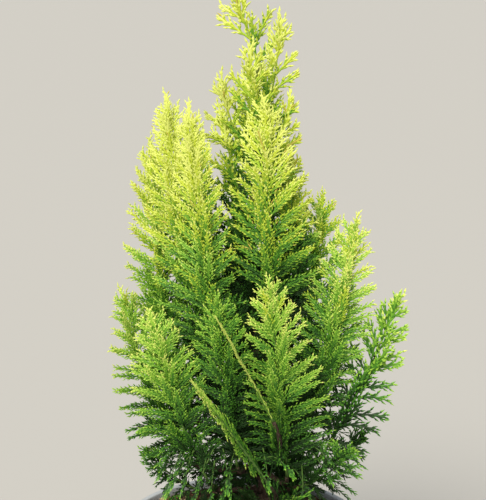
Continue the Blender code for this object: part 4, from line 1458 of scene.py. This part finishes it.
    def build(self) -> None:
        """Grows the foliage and makes one piece of leaves for each region, and one of stems for all."""
        rng = np.random.default_rng(SEED)
        spaces = Spaces(self.shoots())
        self.leaf = np.array([shoot.leaf for shoot in spaces.shoots])
        sprays = self.fitting(self.sprays(spaces, rng), spaces, (1.0, 0.86, 0.74, 0.62, 0.5, 0.4, 0.3))
        sides, share = self.side_rule.grow(sprays, self.leaf[sprays.shoot], rng)
        # Along each spray its side twigs are darker near its foot and lighter near its end: partly the paler young
        # growth, partly painted shade.
        sides.tone = sides.tone + 0.30 * (share**3 - 0.35) + rng.normal(0, 0.03, len(share))
        sides = self.fitting(sides, spaces, (1.0, 0.75, 0.5))
        tips, share = self.tip_rule.grow(sides, self.leaf[sides.shoot], rng)
        # The same for the tips along each side twig: darker at its foot, lighter at its end.
        tips.tone = tips.tone + 0.24 * (share - 0.40) + rng.normal(0, 0.03, len(share))
        tips = self.fitting(tips, spaces, (1.0, 0.7))
        LOG.info("sprays %d, side twigs %d, tips %d", len(sprays.length), len(sides.length), len(tips.length))
        wide, deep = self.leaf_width / 2, self.leaf_depth / 2
        # The lifts make each twig darker at its base and lighter at its end: painted shade at the bases, and at the
        # ends partly the young tips' own pale colour, partly a painted highlight.
        layers = (
            (sprays, (0.0, 0.04, 0.35, 0.7, 0.93, 1.0), (0.62, 0.66, 0.72, 0.80), (-0.2, -0.2, -0.14, -0.02, 0.1)),
            (sides, (0.0, 0.12, 0.62, 1.0), (0.46, 0.66), (-0.18, -0.08, 0.10)),
            (tips, (0.0, 0.42, 1.0), (0.66,), (-0.12, 0.16)),
        )
        tones = list(Tone)
        ramps = np.array([[tones.index(tone) for tone in ramp] for ramp in (GREEN_RAMP, GOLD_RAMP)])
        finishes = [WaxyScaleLeaf(tone).build() for tone in tones]
        for region in Region:
            members = np.array([shoot.region is region for shoot in spaces.shoots])
            parts: list[Array] = []
            faces: list[Whole] = []
            slots: list[Whole] = []
            offset = 0
            for twigs, shares, shape, lifts in layers:
                own = twigs.take(members[twigs.shoot])
                points, triangles = self.rods(own, np.array(shares), wide * np.array(shape), deep * np.array(shape))
                level = (own.tone[:, None] + np.array(lifts)) * ramps.shape[1]
                picked = ramps[own.warm[:, None], np.clip(level, 0, ramps.shape[1] - 1).astype(int)]
                # Painted shade between the scale leaves: a few warm twigs take the tan fleck colour.
                shade_fleck = (rng.random(len(own.tone)) < self.old_share) & (own.warm == 1)
                picked[shade_fleck] = tones.index(Tone.OLD_GOLD)
                runs = [4] + [8] * (len(lifts) - 2) + [4]
                parts.append(points)
                faces.append(triangles + offset)
                slots.append(np.repeat(picked, runs, axis=1).ravel())
                offset += len(points)
            name = f"foliage_{region.value}"
            piece = put_mesh(name, np.concatenate(parts), np.concatenate(faces), np.concatenate(slots), smooth=False)
            dress(piece, finishes, [fan.name for fan in FANS if fan.region is region])
        self.stems(spaces)

    def stems(self, spaces: Spaces) -> None:
        """The stems of the fans: slim round tubes, brown at the foot and green above."""
        parts: list[Array] = []
        faces: list[Whole] = []
        slots: list[Whole] = []
        offset = 0
        reach = int(0.78 * (spaces.fine.shape[1] - 1))
        for index, shoot in enumerate(spaces.shoots):
            if not shoot.ends:
                continue
            path = spaces.fine[index, : reach + 1 : 3]
            radii = np.linspace(0.0011, 0.0004, len(path)) * (1.0 if shoot.half_width > 0.013 else 0.5)
            points, quads = tube_surface(path, radii, 8)
            parts.append(points)
            faces.append(quads + offset)
            offset += len(points)
            height = points[quads].mean(axis=1)[:, 2]
            slots.append(np.searchsorted(self.stem_changes, height))
        piece = put_mesh("fan_stems", np.concatenate(parts), np.concatenate(faces), np.concatenate(slots))
        finishes = [shoot.build() for shoot in self.stem_finishes]
        dress(piece, finishes, [fan.name for fan in FANS])


@dataclass
class Boughs:
    """The boughs: tapering tubes with bark relief, from inside the trunk to the feet of the fans."""

    trunk: Trunk
    radius: float = 0.0025
    end_radius: float = 0.0014
    relief: float = 0.00014
    rings: int = 48
    sides: int = 16

    def build(self, bark: bpy.types.Material) -> None:
        """Builds all the boughs as one piece.

        Args:
            bark: Their material.
        """
        rng = np.random.default_rng(SEED + 4)
        carried = [fan for fan in FANS if fan.foot]
        turn = np.linspace(0.0, 2.0 * np.pi, self.sides, endpoint=False)
        t = np.linspace(0.0, 1.0, self.rings)
        parts: list[Array] = []
        faces: list[Whole] = []
        offset = 0
        for fan in carried:
            path = cubic(fan.bough_corners(self.trunk), t)
            run = np.append(0.0, np.cumsum(np.linalg.norm(np.diff(path, axis=0), axis=1)))
            relief = self.relief * ripples(turn[None], run[:, None], rng, 10, 5, 130.0)
            points, quads = tube_surface(path, np.linspace(self.radius, self.end_radius, self.rings), self.sides, relief)
            parts.append(points)
            faces.append(quads + offset)
            offset += len(points)
        piece = put_mesh("bough_bark", np.concatenate(parts), np.concatenate(faces))
        dress(piece, [bark], ["bough_" + fan.name for fan in carried])


@dataclass
class Studio:
    """The plain pale floor, the soft lights and the camera at the photograph's viewing angle."""

    focal_px: float = 1400.0
    frame_height_px: float = 500.0
    sensor: float = 24.0
    place: tuple[float, float, float] = (0.0002, -1.030, 0.6085)
    pitch: float = 13.0
    floor_size: float = 40.0

    def build(self) -> None:
        """Builds the camera, the floor, a broad key light and an even light all round."""
        camera = bpy.data.objects.new("camera", bpy.data.cameras.new("camera"))
        bpy.context.scene.collection.objects.link(camera)
        camera.data.sensor_fit = "VERTICAL"
        camera.data.sensor_height = self.sensor
        camera.data.lens = self.sensor * self.focal_px / self.frame_height_px
        camera.data.clip_end = 100.0
        camera.location = self.place
        camera.rotation_euler = (math.radians(90.0 - self.pitch), 0.0, 0.0)
        bpy.context.scene.camera = camera
        half = self.floor_size / 2
        corners = np.array([[-half, -half, 0], [half, -half, 0], [half, half, 0], [-half, half, 0]], float)
        floor = put_mesh("floor", corners, np.array([[0, 1, 2, 3]]), smooth=False)
        floor.data.materials.append(PaleFloor().build())
        self.light("key", (-0.40, -0.88, 1.0), 30.0, 4.0, "#FFF9EE")
        world = bpy.data.worlds.new("soft_surround")
        world.use_nodes = True
        world.node_tree.nodes["Background"].inputs["Color"].default_value = linear("#EDF2F7")
        world.node_tree.nodes["Background"].inputs["Strength"].default_value = 0.48
        bpy.context.scene.world = world
        bpy.context.scene.view_settings.view_transform = "Standard"

    def light(self, name: str, place: tuple[float, float, float], spread: float, strength: float, colour: str) -> None:
        """Adds a broad lamp that is far away, so that the whole floor has the same light.

        Args:
            name: Its name.
            place: The side that it shines from.
            spread: Degrees that it covers, seen from the plant.
            strength: Its strength in watts a square metre.
            colour: Its colour.
        """
        lamp = bpy.data.lights.new(name, "SUN")
        lamp.angle = math.radians(spread)
        lamp.energy = strength
        lamp.color = linear(colour)[:3]
        holder = bpy.data.objects.new(name, lamp)
        holder.location = place
        holder.rotation_euler = (-Vector(place)).to_track_quat("-Z", "Y").to_euler()
        bpy.context.scene.collection.objects.link(holder)


def main() -> None:
    """Builds the studio, then the plant from the pot upwards, and logs each piece."""
    logging.basicConfig(level=logging.INFO, format="%(message)s")
    Studio().build()
    NurseryPot().build()
    Compost().build()
    bark = YoungBark().build()
    trunk = Trunk()
    trunk.build(bark)
    Boughs(trunk).build(bark)
    Foliage(trunk).build()


if __name__ == "__main__":
    main()
